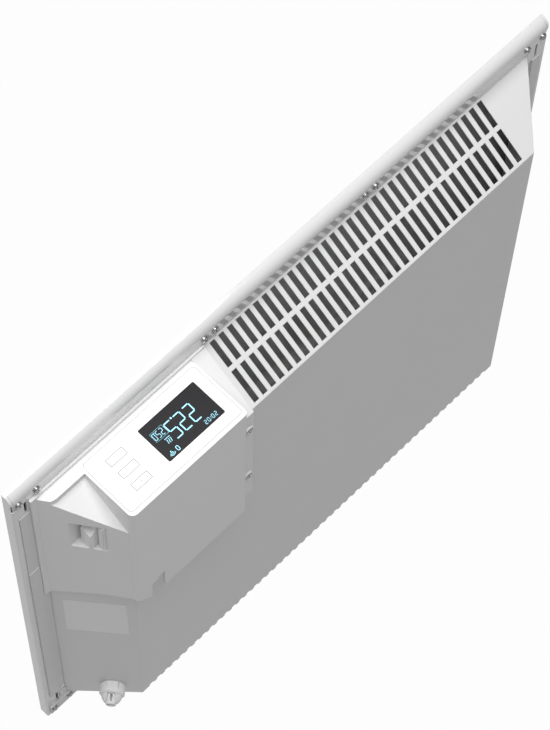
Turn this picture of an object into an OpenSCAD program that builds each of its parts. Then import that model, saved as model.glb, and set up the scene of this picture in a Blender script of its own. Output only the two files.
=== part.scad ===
// Wall panel convector heater with a control pod, a power rocker and a cable gland.
// Frame: +X runs to the end with the control pod, +Y runs to the wall, +Z is up.
// The origin is the centre of the flat back of the casing, where a wall bracket seats.

/* [Front panel] */
// Width of the front panel
panel_w = 460; // [430:5:600]
// Height of the front panel
panel_h = 400; // [380:5:460]
// Depth of the folded front panel
panel_t = 7.7; // [7:0.1:12]
// Thickness of the panel's sheet steel
sheet_t = 0.8; // [0.6:0.1:1]
// Radius of the panel's lower rear edge
low_edge_r = 1.2; // [1:0.2:5]
// Outer radius of the fold between each end and its rear lip
fold_r = 1.5; // [0.6:0.1:1.6]
// Width of the rear lips at the two ends
side_lip = 4; // [3:0.5:5]
// Length of the relief notch below each end of the rolled edge
relief_l = 9.5; // [4:0.5:12]
// Depth of that relief notch
relief_d = 1.6; // [1:0.2:3]
// Height of the tabs in the upper corners of the lips
tab_h = 12; // [8:1:20]
// Height of the tabs in the lower corners of the lips
low_tab_h = 16.5; // [8:0.5:20]

/* [Panel screws] */
// Height of the upper screws below the panel's top
screw_down = 12; // [10:0.5:15]
// Height of the lower screws above the panel's bottom
screw_up = 12.2; // [9:0.1:14]
// Distance of the outer screws from the panel's ends
screw_in = 5.4; // [5:0.1:7]
// Distance between the two screws of a pair at the corners
screw_pair = 14.2; // [12:0.1:18]
// Distance between the two screws of a pair on the top lip
mid_pair = 9; // [7:0.5:12]
// Distance between the middles of the two pairs on the top lip
mid_apart = 138; // [60:2:150]
// Radius of a screw's pan head
head_r = 2.7; // [2.2:0.1:3.2]
// Height of a screw's pan head
head_h = 1.8; // [1.2:0.1:2.4]
// Radius of a screw's shank
shank_r = 1.45; // [1.2:0.05:1.6]
// Length of a screw's shank
shank_l = 5; // [3:0.5:5.5]

/* [Casing] */
// Thickness of the casing's sheet steel
case_t = 0.8; // [0.6:0.1:1]
// Depth of the casing behind the panel's lips
case_d = 41.4; // [38:0.5:60]
// Distance from the panel's end to the casing's wall at the front
case_in = 18.4; // [17:0.2:22]
// How far the slanted walls lean in from front to back
case_slant = 34.6; // [25:0.2:36]
// Height of the vent's front edge below the panel's top
vent_down = 20.3; // [20:0.1:24]
// How far the vent top falls from front to back
vent_fall = 28.4; // [20:0.2:30]
// Height of the base's front edge above the panel's bottom
base_up = 19; // [17:0.5:25]
// How far the base rises from front to back
base_rise = 10.8; // [4:0.2:14]

/* [Vents] */
// Distance from slot to slot
slot_pitch = 7.31; // [6.5:0.01:9]
// Width of a slot
slot_w = 4.07; // [3:0.01:5]
// Distance of the front row from the vent's front edge
front_row_at = 1.3; // [1:0.1:3]
// Length of the slots in the front row
front_row_l = 19.3; // [10:0.1:20]
// Bar between the two rows
row_bar = 3.2; // [2:0.1:5]
// Length of the slots in the rear row
rear_row_l = 24.3; // [12:0.1:24.6]
// Bare strip between the control pod's flange and the first slot
slot_margin = 4.3; // [3:0.1:10]
// Bare strip between the last slot and the far slanted wall
slot_far = 9; // [6:0.5:20]
// Distance of the inlet slots from the base's front edge
inlet_at = 14; // [8:1:20]
// How far the inlet slots run up the back
inlet_rise = 2.5; // [1:0.1:5]
// Bare strip beside the first and the last inlet slot
inlet_margin = 6; // [4:0.5:20]

/* [Control pod] */
// Distance from the casing's front corner to the pod's display end
pod_in = 30.1; // [28:0.1:34]
// Width of the pod's top between its two side walls
pod_w = 95.8; // [94:0.1:120]
// Height of the pod
pod_h = 153.2; // [150:0.2:180]
// How far the pod stands out behind the casing
pod_proud = 8.7; // [7:0.1:12]
// How far the pod stands out from the casing's slanted wall at the panel's lip
pod_over = 2.2; // [2.2:0.05:3]
// Thickness of the pod's walls
pod_wall = 2; // [1.6:0.1:2.1]
// Thickness of the pod's top
pod_roof = 2; // [1.6:0.1:2.4]
// Radius of the pod's rear corner at the display end
pod_corner = 4.4; // [3:0.1:8]
// Radius of the pod's rear corner beside the vent
pod_corner_in = 3; // [1:0.5:5]
// Width of the screw flange beside the vent
flange_w = 11.3; // [10:0.1:16]
// Thickness of the screw flange
flange_t = 2; // [1.5:0.1:3]
// Width of the chamfer at the flange's lower end
flange_cut_w = 6; // [2:0.5:9]
// Height of the chamfer at the flange's lower end
flange_cut_h = 3; // [2:0.5:14]
// Height of the lower pod screw above the pod's bottom
pod_screw_up = 33.7; // [20:0.1:40]
// Depth of the upper pod screw below the pod's top
pod_screw_down = 48.1; // [40:0.1:60]
// Distance of the pod screws from the pod's wall
pod_screw_in = 6.4; // [5.2:0.1:6.8]
// Radius of the round boss at each pod screw
boss_r = 4.4; // [3.6:0.1:4.4]
// Height of that boss above the flange
boss_h = 1.3; // [0.6:0.1:2]
// Depth of the ledge in front of the sloped facet
ledge_d = 9.8; // [8:0.1:12]
// Drop from the ledge to the facet
facet_drop = 5.5; // [4:0.1:8]
// How far the facet falls from its front to the pod's back
facet_fall = 29.1; // [25:0.1:32]
// Radius of the ledge's outer corner
ledge_r = 10.6; // [6:0.1:12]
// Distance from the pod's front corner to the ledge's round corner
ledge_side = 0.5; // [0.2:0.1:2]
// Height of the ridge along the panel's lip
ridge_h = 2.9; // [2.6:0.1:3.2]
// Depth of the ridge along the panel's lip
ridge_d = 1.7; // [1:0.1:2.5]
// Distance from the casing's front corner to the side strips
strip_at = 5.9; // [4:0.1:7]
// Width of the notch in the pod's rear wall
notch_w = 11.2; // [8:0.2:14]
// Height of the notch
notch_h = 20.5; // [12:0.5:21]
// Width of the taller part of the notch
notch_step_w = 5; // [3:0.2:7]
// Extra height of that part
notch_step_h = 3.5; // [1:0.1:3.6]
// Distance from the pod's display end to the notch
notch_in = 11.8; // [9:0.1:16]
// Height that the pod's lower edge is lifted round its rear corner
lift_h = 8.4; // [4:0.1:9]

/* [Display and buttons] */
// Width of the control fascia
fascia_w = 91.9; // [80:0.1:92]
// Depth of the control fascia
fascia_d = 42; // [38:0.1:42.5]
// Thickness of the control fascia
fascia_t = 0.5; // [0.3:0.1:0.8]
// Corner radius of the control fascia
fascia_r = 2.5; // [1:0.1:4]
// Distance from the panel's lip to the fascia
fascia_at = 5; // [4:0.1:6]
// Width of the display window
window_w = 46; // [40:0.1:50]
// Depth of the display window
window_d = 27.7; // [22:0.1:32]
// Offset of the display window from the fascia's middle
window_off = 15.6; // [15:0.1:18]
// Offset of the buttons from the fascia's middle
button_off = 27.4; // [26:0.1:30]
// Width of a button
button_w = 13.3; // [10:0.1:15]
// Depth of a button
button_d = 5.8; // [4:0.1:7]
// Distance from button to button
button_pitch = 10.65; // [9:0.05:11.5]
// Travel of a button
button_travel = 0.6; // [0.3:0.05:0.8]
// Thickness of the rim that keeps a button in
button_rim_t = 0.8; // [0.6:0.1:1]
// Width of that rim all round
button_rim = 0.9; // [0.5:0.1:1]
// Space between the pod's top and the control board
board_drop = 6.5; // [6.2:0.1:8]
// Thickness of the circuit boards
board_t = 1.6; // [1:0.1:2]

/* [Power switch] */
// Distance from the panel's lip to the front of the switch pocket
pocket_at = 16.1; // [14:0.1:17]
// Depth of the switch pocket in from the casing's front corner
pocket_in = 22.5; // [22:0.1:25.5]
// Height of the switch pocket
pocket_h = 37; // [36.6:0.1:40]
// Depth of the pocket's roof below the pod's top
pocket_down = 29.7; // [29:0.1:34]
// Width of the rocker
rocker_w = 8.8; // [6:0.1:9.5]
// Length of the rocker's raised half
rocker_low = 18.7; // [14:0.1:18.8]
// Length of the rocker's flat half
rocker_high = 12; // [9:0.1:12]
// How far the raised half stands out of the pocket's back
rocker_out = 6.9; // [5:0.1:7.5]
// How far the flat half stands out of the pocket's back
rocker_flat = 2.6; // [2:0.1:3.5]
// Tilt of the rocker between off and on
rocker_tilt = 8; // [5:0.5:10]

/* [Cable gland] */
// Distance from the casing's front corner to the gland, along the slanted wall
gland_along = 33.7; // [24:0.1:36]
// Height of the gland above the panel's bottom
gland_up = 42; // [38:0.5:60]
// Radius of the gland's ring nut
gland_nut_r = 8.85; // [8:0.05:10]
// Length of the ring nut
gland_nut_l = 8.2; // [6:0.1:10]
// Radius of the gland's threaded body
gland_body_r = 6; // [5.5:0.1:6.3]
// Radius of the cord sleeve
sleeve_r = 3.6; // [3.3:0.05:3.8]
// Radius of the bore that takes the cord
cord_bore_r = 3; // [2.5:0.05:3.1]
// How far the cord sleeve stands out of the casing's wall
sleeve_out = 15.3; // [14:0.1:18]
// Length of the split dome in front of the nut
dome_l = 5.4; // [4:0.1:6]

/* [Heating element] */
// Height of the fins
fin_h = 60; // [40:1:64]
// Depth over the ribs
fin_d = 18; // [10:1:22]
// Height of the element's middle above the panel's bottom
element_up = 96; // [90:1:120]
// Radius of the element's rod
rod_r = 4; // [3:0.1:5]
// Height of the heat shield
shield_h = 110; // [80:2:130]

/* [Rating label] */
// Length of the label along the slanted wall
label_l = 41; // [30:1:42]
// Height of the label
label_h = 56; // [40:1:60]
// Gap between the label's top and the pod's bottom
label_gap = 20.9; // [4:0.1:30]

/* [Hidden] */
$fn = 48;

// Clearance between faces that seat on each other
seat = 0.05;
// Clearance round a part that slides or drops in
slip = 0.15;
// Clearance between the casing and the edges of the lips
lip_gap = 0.5;
// Overrun of every cut
over = 1;

// Half sizes and heights of the panel and the casing
half_w = panel_w / 2;
case_half = half_w - case_in;
case_rear_half = case_half - case_slant;
vent_z = panel_h - vent_down;
wall_a = atan2(case_slant, case_d);
vent_a = atan2(vent_fall, case_d);
base_a = atan2(base_rise, case_d);
flange_back = sheet_t + seat + case_t;

// Places of the control pod
pod_right = case_half - pod_in;
pod_left = pod_right - pod_w;
pod_rear = case_d + pod_proud;
pod_top = vent_z;
pod_x0 = case_half + pod_over / cos(wall_a);
pod_a = atan2(pod_x0 - pod_right, pod_rear - pod_corner);
pod_base = pod_top - pod_h;
roof_z = pod_top - pod_roof;
facet_a = atan2(facet_fall, pod_rear - ledge_d);
// Height from the pod's bottom to the underside of its inner floor
floor_up = notch_h + notch_step_h + 0.5 * seat;
floor_t = 2;
floor_z = pod_base + floor_up + floor_t;
// Strip of casing that stays under the pod beside the vent
pod_lap = 2.7;
// Depth of the pressed seat in the casing's back under the pod
press_d = 0.2;
flange_root = 0.5;
// Ends and slopes of the lifted edge
lift_post = 0.6;
lift_run = 6.5;
lift_side = 12.5;
pod_screw_x = pod_left - pod_screw_in;
pod_screws = [pod_base + pod_screw_up, pod_top - pod_screw_down];

// Places on the pod's top
fascia_x = (pod_left + pod_right) / 2;
fascia_y = fascia_at + fascia_d / 2;
window_x = fascia_x - window_off;
button_x = fascia_x + button_off;
window_r = 1;
board_z = roof_z - board_drop;
board_w = 90;
board_d = 40;
button_switch_w = 6;
button_switch_h = 3.4;
plunger_r = 1.7;
plunger_h = 0.5;
stem_r = 1.5;
post_r = 2.5;
post_left = 13.4;
post_right = 13.8;
post_edge = 3;
board_in = 1;
board_screw_r = 1;
function post_places() = [for (x = [button_x - post_left, button_x + post_right])
    for (y = [fascia_at + board_in + post_edge, fascia_at + board_in + board_d - post_edge]) [x, y]];
module_w = window_w + 5;
module_d = window_d + 5;

// Places of the power switch
pocket_x = case_half - pocket_in;
pocket_z = pod_top - pocket_down - pocket_h;
pocket_l = 19.5;
liner_t = 1.5;
rocker_in = 2.2;
rocker_y = pocket_at + rocker_in;
pivot_up = 20.3;
pivot_z = pocket_z + pivot_up;
pivot_in = 3.7;
pivot_r = 1.2;
pivot_end = 0.35;
pivot_seat = 0.2;
bezel_t = 1.2;
bezel_l = 17.4;
bezel_high = 0.8;
guard_w = 3;
guard_t = 1.1;
guard_low = 1.5;
guard_high = 2.8;
switch_side = 1.6;
switch_w = 14.4;
switch_low = 0.1;
switch_top = 1.9;
well_in = 2.4;
well_gap = 0.3;
well_low = 1;
well_high = 0.7;
core_in = 1.5;
core_half = 7;
body_depth = 17;
spade_l = 8;
spade_w = 6.3;
spade_t = 0.8;
spade_at = 8;
rocker_foot = 1.1;
rocker_crest = 0.9;
rocker_step = 3.2;
rocker_lean = 0.5;
rocker_back = 2;
stem_in = 1.9;
stem_deep = 4;
stem_half = 3;
switch_y = [pocket_at + switch_side + seat, pocket_at + switch_side + seat + switch_w];
switch_z = [pocket_z + switch_low, pivot_z + rocker_high + switch_top];

// Sizes inside the casing
element_in = 17;
shield_t = 0.8;
shield_in = 4.6;
shield_gap = 1.5;
shield_low_share = 0.45;
shield_foot_r = 4;
shield_foot_in = 12;
fin_t = 1.6;
rib_n = 6;
rib_t = 1.2;
bush_l = 8;
bush_r = 6.5;
bush_neck = 1.5;
bush_lip = 2;
rod_end = 2;
bracket_t = 1;
bracket_foot = 14;
bracket_half_h = 24;
bracket_nose = 9;
element_y = 19;
tag_low = 3;
tag_high = 11;
element_half = case_rear_half - element_in;
back_y = case_d - case_t - seat;

module seated() {
    translate([0, -case_d, -panel_h / 2]) children();
}

// Carries an outline in Y and Z along X, centred at x
module along_x(length, x = 0) {
    translate([x, 0, 0]) rotate([90, 0, 90]) linear_extrude(height = length, center = true) children();
}

// Frame on the slanted wall: local X points out, local Y runs to the back along the wall
module on_wall(along, z) {
    translate([case_half - along * sin(wall_a), along * cos(wall_a), z]) rotate([0, 0, wall_a]) children();
}

// Cylinder from the front to the back
module bar_y(r, y0, y1, x, z) {
    translate([x, y0, z]) rotate([-90, 0, 0]) cylinder(r = r, h = y1 - y0);
}

module block(x, y, z) {
    translate([x[0], y[0], z[0]]) cube([x[1] - x[0], y[1] - y[0], z[1] - z[0]]);
}

// Plate with round corners, standing on z
module round_plate(w, d, r, z, h, x, y) {
    block([x - w / 2 + r, x + w / 2 - r], [y - d / 2, y + d / 2], [z, z + h]);
    block([x - w / 2, x + w / 2], [y - d / 2 + r, y + d / 2 - r], [z, z + h]);
    for (sx = [-1, 1]) {
        for (sy = [-1, 1]) {
            translate([x + sx * (w / 2 - r), y + sy * (d / 2 - r), z]) cylinder(r = r, h = h);
        }
    }
}

function unit(v) = v / norm(v);

// Direction of a route at its point i, halfway between the steps before and after it
function heading(points, i) = let (
    last = len(points) - 1,
    before = i > 0 ? unit(points[i] - points[i - 1]) : unit(points[1] - points[0]),
    after = i < last ? unit(points[i + 1] - points[i]) : before)
    unit(before + after);

function wire_ring(points, i, r, sides) = let (
    ahead = heading(points, i),
    side = unit(cross([1, 0, 0], ahead)),
    up = cross(ahead, side))
    [for (k = [0 : sides - 1]) points[i] + r * (cos(k * 360 / sides) * side + sin(k * 360 / sides) * up)];

// Wire swept through the points of its route
module wire(points, r, sides = 8) {
    rings = len(points);
    polyhedron(
        points = [for (i = [0 : rings - 1]) each wire_ring(points, i, r, sides)],
        faces = concat(
            [[for (k = [0 : sides - 1]) k]],
            [[for (k = [sides - 1 : -1 : 0]) (rings - 1) * sides + k]],
            [for (i = [0 : rings - 2]) for (k = [0 : sides - 1]) let (n = (k + 1) % sides)
                each [[i * sides + k, (i + 1) * sides + k, (i + 1) * sides + n],
                    [i * sides + k, (i + 1) * sides + n, i * sides + n]]]));
}

// Screw with its head on z = 0, its shank pointing down and a cross recess
module screw(head, height, shank, length) {
    slot = head * 1.1;
    blade = head * 0.28;
    difference() {
        intersection() {
            cylinder(r = head, h = height);
            translate([0, 0, height - head * 1.5]) sphere(r = head * 1.5);
        }
        for (turn = [0, 90]) {
            rotate([0, 0, turn]) translate([-slot / 2, -blade / 2, height * 0.45]) cube([slot, blade, height]);
        }
    }
    translate([0, 0, -length]) cylinder(r = shank, h = length + height * 0.2);
}

function upper_screws() = [for (s = [-1, 1]) for (x = [half_w - screw_in, half_w - screw_in - screw_pair,
    mid_apart / 2 + mid_pair / 2, mid_apart / 2 - mid_pair / 2]) s * x];
function lower_screws() = [for (s = [-1, 1]) for (x = [half_w - screw_in, half_w - screw_in - screw_pair]) s * x];

module screw_holes(r) {
    for (x = upper_screws()) {
        bar_y(r, -flange_back - over, over, x, panel_h - screw_down);
    }
    for (x = lower_screws()) {
        bar_y(r, -flange_back - over, over, x, screw_up);
    }
}

// Section of the folded panel: flat front, round upper and lower rear edges
module panel_section(inset) {
    low = low_edge_r;
    intersection() {
        union() {
            translate([-panel_t, low]) square([panel_t - inset, panel_h - panel_t - low]);
            translate([-panel_t, panel_h - panel_t]) circle(r = panel_t - inset);
            translate([-panel_t, inset]) square([panel_t - low, low]);
            translate([-low, low]) circle(r = low - inset);
        }
        translate([-panel_t + inset, 0]) square([panel_t, panel_h]);
    }
}

// Sizes on the lips
lip_slot_w = 2;
lip_slot_at = 8.3;
lip_slot_end = 0.6;
lip_slot_top = 4.5;
relief_top_d = 1.6;
roll_gap_w = 0.4;
roll_gap_d = 0.4;
roll_gap_in = 1.9;
strip_high_share = 0.69;
plate_high = 10.5;
plate_mid = 1.5;
foot_up = 4.8;
foot_h = 12.4;
foot_in = 2.4;
foot_l = 27;
foot_y = seat + 2 * sheet_t;
boss_gap = 0.4;
flange_side = 0.5;
flange_low = 4;

module lip_slots(y0, y1) {
    for (s = [-1, 1]) {
        x = s * (case_half + lip_slot_at);
        xs = [x - lip_slot_w / 2, x + lip_slot_w / 2];
        block(xs, [y0, y1], [vent_z - tab_h + lip_slot_end, vent_z + lip_slot_top]);
        block(xs, [y0, y1], [foot_up + foot_h, base_up + low_tab_h - lip_slot_end]);
    }
}

// Notch between the top lip and a side lip
module lip_relief() {
    top = panel_h - panel_t;
    translate([0, over, 0]) rotate([90, 0, 0]) linear_extrude(height = relief_d + over)
        polygon([[half_w - side_lip, top - relief_l], [half_w + over, top - relief_l], [half_w + over, top],
            [half_w - relief_top_d, top]]);
}

// Seams where the roll meets the two side returns
module roll_gaps() {
    for (s = [-1, 1]) {
        along_x(roll_gap_w, s * (half_w - roll_gap_in)) difference() {
            translate([2 * sheet_t - panel_t, panel_h - panel_t]) square([panel_t, panel_t + over]);
            panel_section(roll_gap_d);
        }
    }
}

module front_panel() {
    color("white") seated() difference() {
        along_x(panel_w) panel_section(0);
        along_x(panel_w - 2 * sheet_t) panel_section(sheet_t);
        block([-half_w + side_lip, half_w - side_lip], [-sheet_t - over, over],
            [base_up + low_tab_h, vent_z - tab_h]);
        block([-case_half - lip_gap, case_half + lip_gap], [-sheet_t - over, over],
            [base_up - lip_gap, vent_z + lip_gap]);
        lip_relief();
        mirror([1, 0, 0]) lip_relief();
        lip_slots(-sheet_t - over, over);
        roll_gaps();
        for (s = [-1, 1]) {
            translate([0, 0, -over]) linear_extrude(height = panel_h + 2 * over)
                corner_off(s * half_w, 0, fold_r, s);
        }
        screw_holes(shank_r + slip);
    }
}

// Strips of sheet along the two side lips, in two heights
module side_strips() {
    low = sheet_t * 1.5;
    high = sheet_t * 0.8;
    x0 = case_half + strip_at;
    x1 = half_w - side_lip - seat;
    color("gainsboro") seated() for (s = [-1, 1]) {
        x = s > 0 ? [x0, x1] : [-x1, -x0];
        block(x, [-sheet_t, high], [base_up + low_tab_h + lip_gap, vent_z - tab_h - lip_gap]);
        block(x, [high, low], [base_up + low_tab_h + lip_gap, strip_high_share * panel_h]);
    }
}

// Plates on the lower corners of the lips, each with a hemmed foot
module corner_plates() {
    y = [seat, seat + sheet_t];
    x0 = case_half + lip_gap;
    xm = case_half + strip_at;
    x1 = half_w - side_lip;
    foot = [half_w - foot_in - foot_l, half_w - foot_in];
    color("gainsboro") seated() difference() {
        for (s = [-1, 1]) {
            block(s > 0 ? [x0, xm] : [-xm, -x0], y, [foot_up, base_up + plate_high]);
            block(s > 0 ? [xm, x1] : [-x1, -xm], y, [foot_up, base_up + plate_mid]);
            block(s > 0 ? foot : [-foot[1], -foot[0]], [seat, foot_y], [foot_up, foot_up + foot_h]);
        }
        lip_slots(-over, over + sheet_t);
        for (x = lower_screws()) {
            bar_y(shank_r + slip, -over, foot_y + over, x, screw_up);
        }
    }
}

module panel_screws() {
    color("silver") seated() {
        for (x = upper_screws()) {
            translate([x, seat, panel_h - screw_down]) rotate([-90, 0, 0]) screw(head_r, head_h, shank_r, shank_l);
        }
        for (x = lower_screws()) {
            translate([x, foot_y + seat, screw_up]) rotate([-90, 0, 0])
                screw(head_r, head_h, shank_r, shank_l + 2 * sheet_t);
        }
    }
}

// Faces of the casing, moved in by inset along their normals
function wall_x(y, inset) = case_half - inset / cos(wall_a) - y * tan(wall_a);
function vent_at(y, inset) = vent_z - inset / cos(vent_a) - y * tan(vent_a);
function base_at(y, inset) = base_up + inset / cos(base_a) + y * tan(base_a);

function case_plan(inset, front) = let (
    back = case_d - inset,
    kink = -inset * tan(wall_a / 2),
    half = case_half - inset)
    [[-half, front], [-half, kink], [-wall_x(back, inset), back], [wall_x(back, inset), back],
        [half, kink], [half, front]];

function case_profile(inset, front) = let (
    back = case_d - inset,
    top = vent_z - inset,
    low = base_up + inset)
    [[front, low], [-inset * tan(base_a / 2), low], [back, base_at(back, inset)], [back, vent_at(back, inset)],
        [-inset * tan(vent_a / 2), top], [front, top]];

module case_solid(inset, front) {
    intersection() {
        linear_extrude(height = panel_h) polygon(case_plan(inset, front));
        along_x(panel_w) polygon(case_profile(inset, front));
    }
}

module vent_slots() {
    first = pod_left - flange_w - slot_margin - slot_w / 2;
    count = floor((first + case_rear_half - slot_far) / slot_pitch) + 1;
    rows = [[front_row_at, front_row_l], [front_row_at + front_row_l + row_bar, rear_row_l]];
    for (row = rows) {
        for (i = [0 : count - 1]) {
            translate([first - i * slot_pitch, 0, vent_z]) rotate([-vent_a, 0, 0])
                translate([-slot_w / 2, row[0], -case_t - over]) cube([slot_w, row[1], case_t + 2 * over]);
        }
    }
}

module inlet_slots() {
    side = floor((case_rear_half - inlet_margin) / slot_pitch);
    for (i = [-side : side]) {
        block([i * slot_pitch - slot_w / 2, i * slot_pitch + slot_w / 2], [inlet_at, case_d + over],
            [base_up - over, base_at(case_d, 0) + inlet_rise]);
    }
}

module back_casing() {
    edge = half_w - sheet_t - flange_side;
    color("whitesmoke") seated() difference() {
        union() {
            case_solid(0, -flange_back);
            block([-edge, edge], [-flange_back, -sheet_t - seat], [flange_low, panel_h - panel_t - 2 * flange_side]);
        }
        case_solid(case_t, -flange_back - over);
        vent_slots();
        inlet_slots();
        lip_slots(-flange_back - over, over);
        screw_holes(shank_r + slip);
        block([pod_left + pod_lap, half_w], [-sheet_t, case_d + over], [floor_z, panel_h]);
        // shallow pressed seat under the pod
        block([pod_left - flange_w - slip, half_w], [case_d - press_d, case_d + over], [pod_base - slip, panel_h]);
        on_wall(gland_along, gland_up) translate([-case_t - over, 0, 0]) rotate([0, 90, 0])
            cylinder(r = gland_body_r + slip, h = case_t + 2 * over);
        for (z = pod_screws) {
            bar_y(shank_r + slip, case_d - case_t - over, case_d + over, pod_screw_x, z);
        }
    }
}

// Outline of the pod seen from above, moved in by inset
function pod_line(y, inset) = pod_x0 - inset / cos(pod_a) - y * tan(pod_a);

module corner_off(x, y, r, sx) {
    translate([x - sx * r, y - r]) difference() {
        translate([sx > 0 ? 0 : -r - over, 0]) square([r + over, r + over]);
        circle(r = r);
    }
}

module pod_plan(inset, front) {
    left = pod_left + inset;
    right = pod_right - inset;
    back = pod_rear - inset;
    meet = (pod_line(0, inset) - right) / tan(pod_a);
    difference() {
        polygon([[left, front], [left, back], [right, back], [right, meet], [pod_line(front, inset), front]]);
        corner_off(right, back, max(pod_corner - inset, pod_corner / 5), 1);
        corner_off(left, back, max(pod_corner_in - inset, pod_corner_in / 5), -1);
    }
}

function facet_at(y, inset) = pod_top - facet_drop - inset / cos(facet_a) - (y - ledge_d) * tan(facet_a);

// Outline of the ledge, its outer corner round
module ledge_plan(inset) {
    y = ledge_d - ledge_r;
    x = pod_x0 - ledge_side - ledge_r;
    translate([pod_left, -over]) square([x - pod_left, ledge_d - inset + over]);
    translate([pod_left, -over]) square([x + ledge_r - inset - pod_left, max(y, 0) + over]);
    translate([x, y]) circle(r = ledge_r - inset);
}

// Space above the sloped facet at the pod's display end, round the ledge
module facet_space(inset) {
    top = pod_top + over;
    far = pod_rear + over;
    near = ledge_d - (facet_drop + over + inset / cos(facet_a)) / tan(facet_a);
    difference() {
        along_x(case_in + pod_in, pod_right - inset + (case_in + pod_in) / 2)
            polygon([[near, top], [far, facet_at(far, inset)], [far, top]]);
        translate([0, 0, pod_base]) linear_extrude(height = pod_h + 2 * over) ledge_plan(inset);
    }
}

// Space under the lifted edge round the pod's rear corner
module lift_space() {
    start = pod_right - notch_in + lift_post;
    end = pod_x0 - ridge_d;
    translate([0, pod_rear + over, pod_base]) rotate([90, 0, 0]) linear_extrude(height = pod_rear)
        polygon([[start, -over], [start, 0], [start + lift_run, lift_h], [pod_right + lift_side, lift_h],
            [end, 0], [end, -over]]);
}

module pod_body() {
    difference() {
        translate([0, 0, pod_base]) linear_extrude(height = pod_h) pod_plan(0, seat);
        facet_space(0);
        lift_space();
    }
}

module pod_hollow() {
    difference() {
        translate([0, 0, pod_base - over]) linear_extrude(height = pod_h - pod_roof + over)
            pod_plan(pod_wall, -over);
        facet_space(pod_wall);
        difference() {
            block([pod_left, half_w], [0, pod_rear], [pod_base + floor_up, floor_z]);
            facet_space(0);
        }
        for (place = post_places()) {
            translate([place[0], place[1], board_z]) cylinder(r = post_r, h = board_drop + over);
        }
    }
}

module pocket_cut(grow) {
    block([pocket_x - grow, half_w], [pocket_at - grow, pocket_at + pocket_l + grow],
        [pocket_z - grow, pocket_z + pocket_h + grow]);
}

// Flange that follows the vent's slope and the casing's back
module pod_flange() {
    low = -seat;
    high = -seat - flange_t;
    back = case_d + seat;
    along_x(flange_w + flange_root, pod_left + (flange_root - flange_w) / 2)
        polygon([[seat, vent_at(seat, low)], [seat, vent_at(seat, high)],
            [back + flange_t, vent_at(back + flange_t, high)], [back + flange_t, pod_base],
            [back, pod_base], [back, vent_at(back, low)]]);
}

module pod_lip_ridge() {
    x0 = pod_left - flange_w;
    x1 = case_half + strip_at - slip;
    block([x0, x1], [seat, seat + ridge_d], [roof_z, pod_top + ridge_h]);
    translate([0, 0, pod_base]) linear_extrude(height = pod_h + ridge_h) difference() {
        translate([case_half - over, seat]) square([x1 - case_half + over, pod_wall]);
        pod_plan(pod_wall, -over);
    }
}

module control_housing() {
    x0 = pod_left - flange_w;
    color("white") seated() difference() {
        union() {
            difference() {
                pod_body();
                pod_hollow();
                pocket_cut(0);
            }
            difference() {
                intersection() {
                    pod_body();
                    pocket_cut(liner_t);
                }
                pocket_cut(0);
            }
            pod_flange();
            pod_lip_ridge();
            for (z = pod_screws) {
                bar_y(boss_r, case_d + seat, case_d + seat + flange_t + boss_h, pod_screw_x, z);
            }
        }
        // room for the casing under the pod
        intersection() {
            case_solid(-seat, -over);
            union() {
                block([0, pod_left + pod_lap + slip], [-over, pod_rear], [0, panel_h]);
                block([0, half_w], [-over, pod_rear], [0, floor_z + seat]);
            }
        }
        // opening for the switch in the back of its pocket
        block([pocket_x - liner_t - over, pocket_x + over], [switch_y[0] - seat, switch_y[1] + slip],
            [switch_z[0] - slip, switch_z[1] + slip]);
        // seat of the fascia, openings for the display and the buttons
        round_plate(fascia_w + slip, fascia_d + slip, fascia_r, pop_z(), fascia_t + over, fascia_x, fascia_y);
        round_plate(window_w, window_d, window_r, roof_z - over, pod_roof + over, window_x, fascia_y);
        for (i = [-1, 0, 1]) {
            block([button_x - button_w / 2, button_x + button_w / 2],
                [fascia_y + i * button_pitch - button_d / 2, fascia_y + i * button_pitch + button_d / 2],
                [roof_z - over, pod_top + over]);
        }
        for (place = post_places()) {
            translate([place[0], place[1], board_z - over]) cylinder(r = board_screw_r + seat, h = board_drop);
        }
        // notch in the rear wall
        block([pod_right - notch_in - notch_w, pod_right - notch_in], [pod_rear - pod_wall - over, pod_rear + over],
            [pod_base - over, pod_base + notch_h]);
        block([pod_right - notch_in - notch_w, pod_right - notch_in - notch_w + notch_step_w],
            [pod_rear - pod_wall - over, pod_rear + over], [pod_base, pod_base + notch_h + notch_step_h]);
        // screw holes and chamfer of the flange
        for (z = pod_screws) {
            bar_y(shank_r + slip, case_d - over, case_d + flange_t + over, pod_screw_x, z);
            bar_y(head_r + boss_gap, case_d + seat + flange_t, case_d + flange_t + boss_h + over, pod_screw_x, z);
        }
        translate([0, case_d + flange_t + over, 0]) rotate([90, 0, 0]) linear_extrude(height = flange_t + over)
            polygon([[x0 - over, pod_base - over], [x0 + flange_cut_w, pod_base - over],
                [x0 + flange_cut_w, pod_base], [x0, pod_base + flange_cut_h], [x0 - over, pod_base + flange_cut_h]]);
    }
}

function pop_z() = pod_top - fascia_t;

module housing_screws() {
    color("silver") seated() for (z = pod_screws) {
        translate([pod_screw_x, case_d + flange_t + 2 * seat, z]) rotate([-90, 0, 0])
            screw(head_r, head_h, shank_r, shank_l + flange_t);
    }
}

module control_fascia() {
    color("white") seated() difference() {
        round_plate(fascia_w, fascia_d, fascia_r, pop_z() + seat, fascia_t - seat, fascia_x, fascia_y);
        round_plate(window_w, window_d, window_r, pop_z() - over, fascia_t + 2 * over, window_x, fascia_y);
        for (i = [-1, 0, 1]) {
            block([button_x - button_w / 2, button_x + button_w / 2],
                [fascia_y + i * button_pitch - button_d / 2, fascia_y + i * button_pitch + button_d / 2],
                [pop_z() - over, pod_top + over]);
        }
    }
}

module display_window() {
    color("dimgray") seated()
        round_plate(window_w - slip, window_d - slip, window_r, roof_z + seat, pod_roof - seat, window_x, fascia_y);
}

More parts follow.
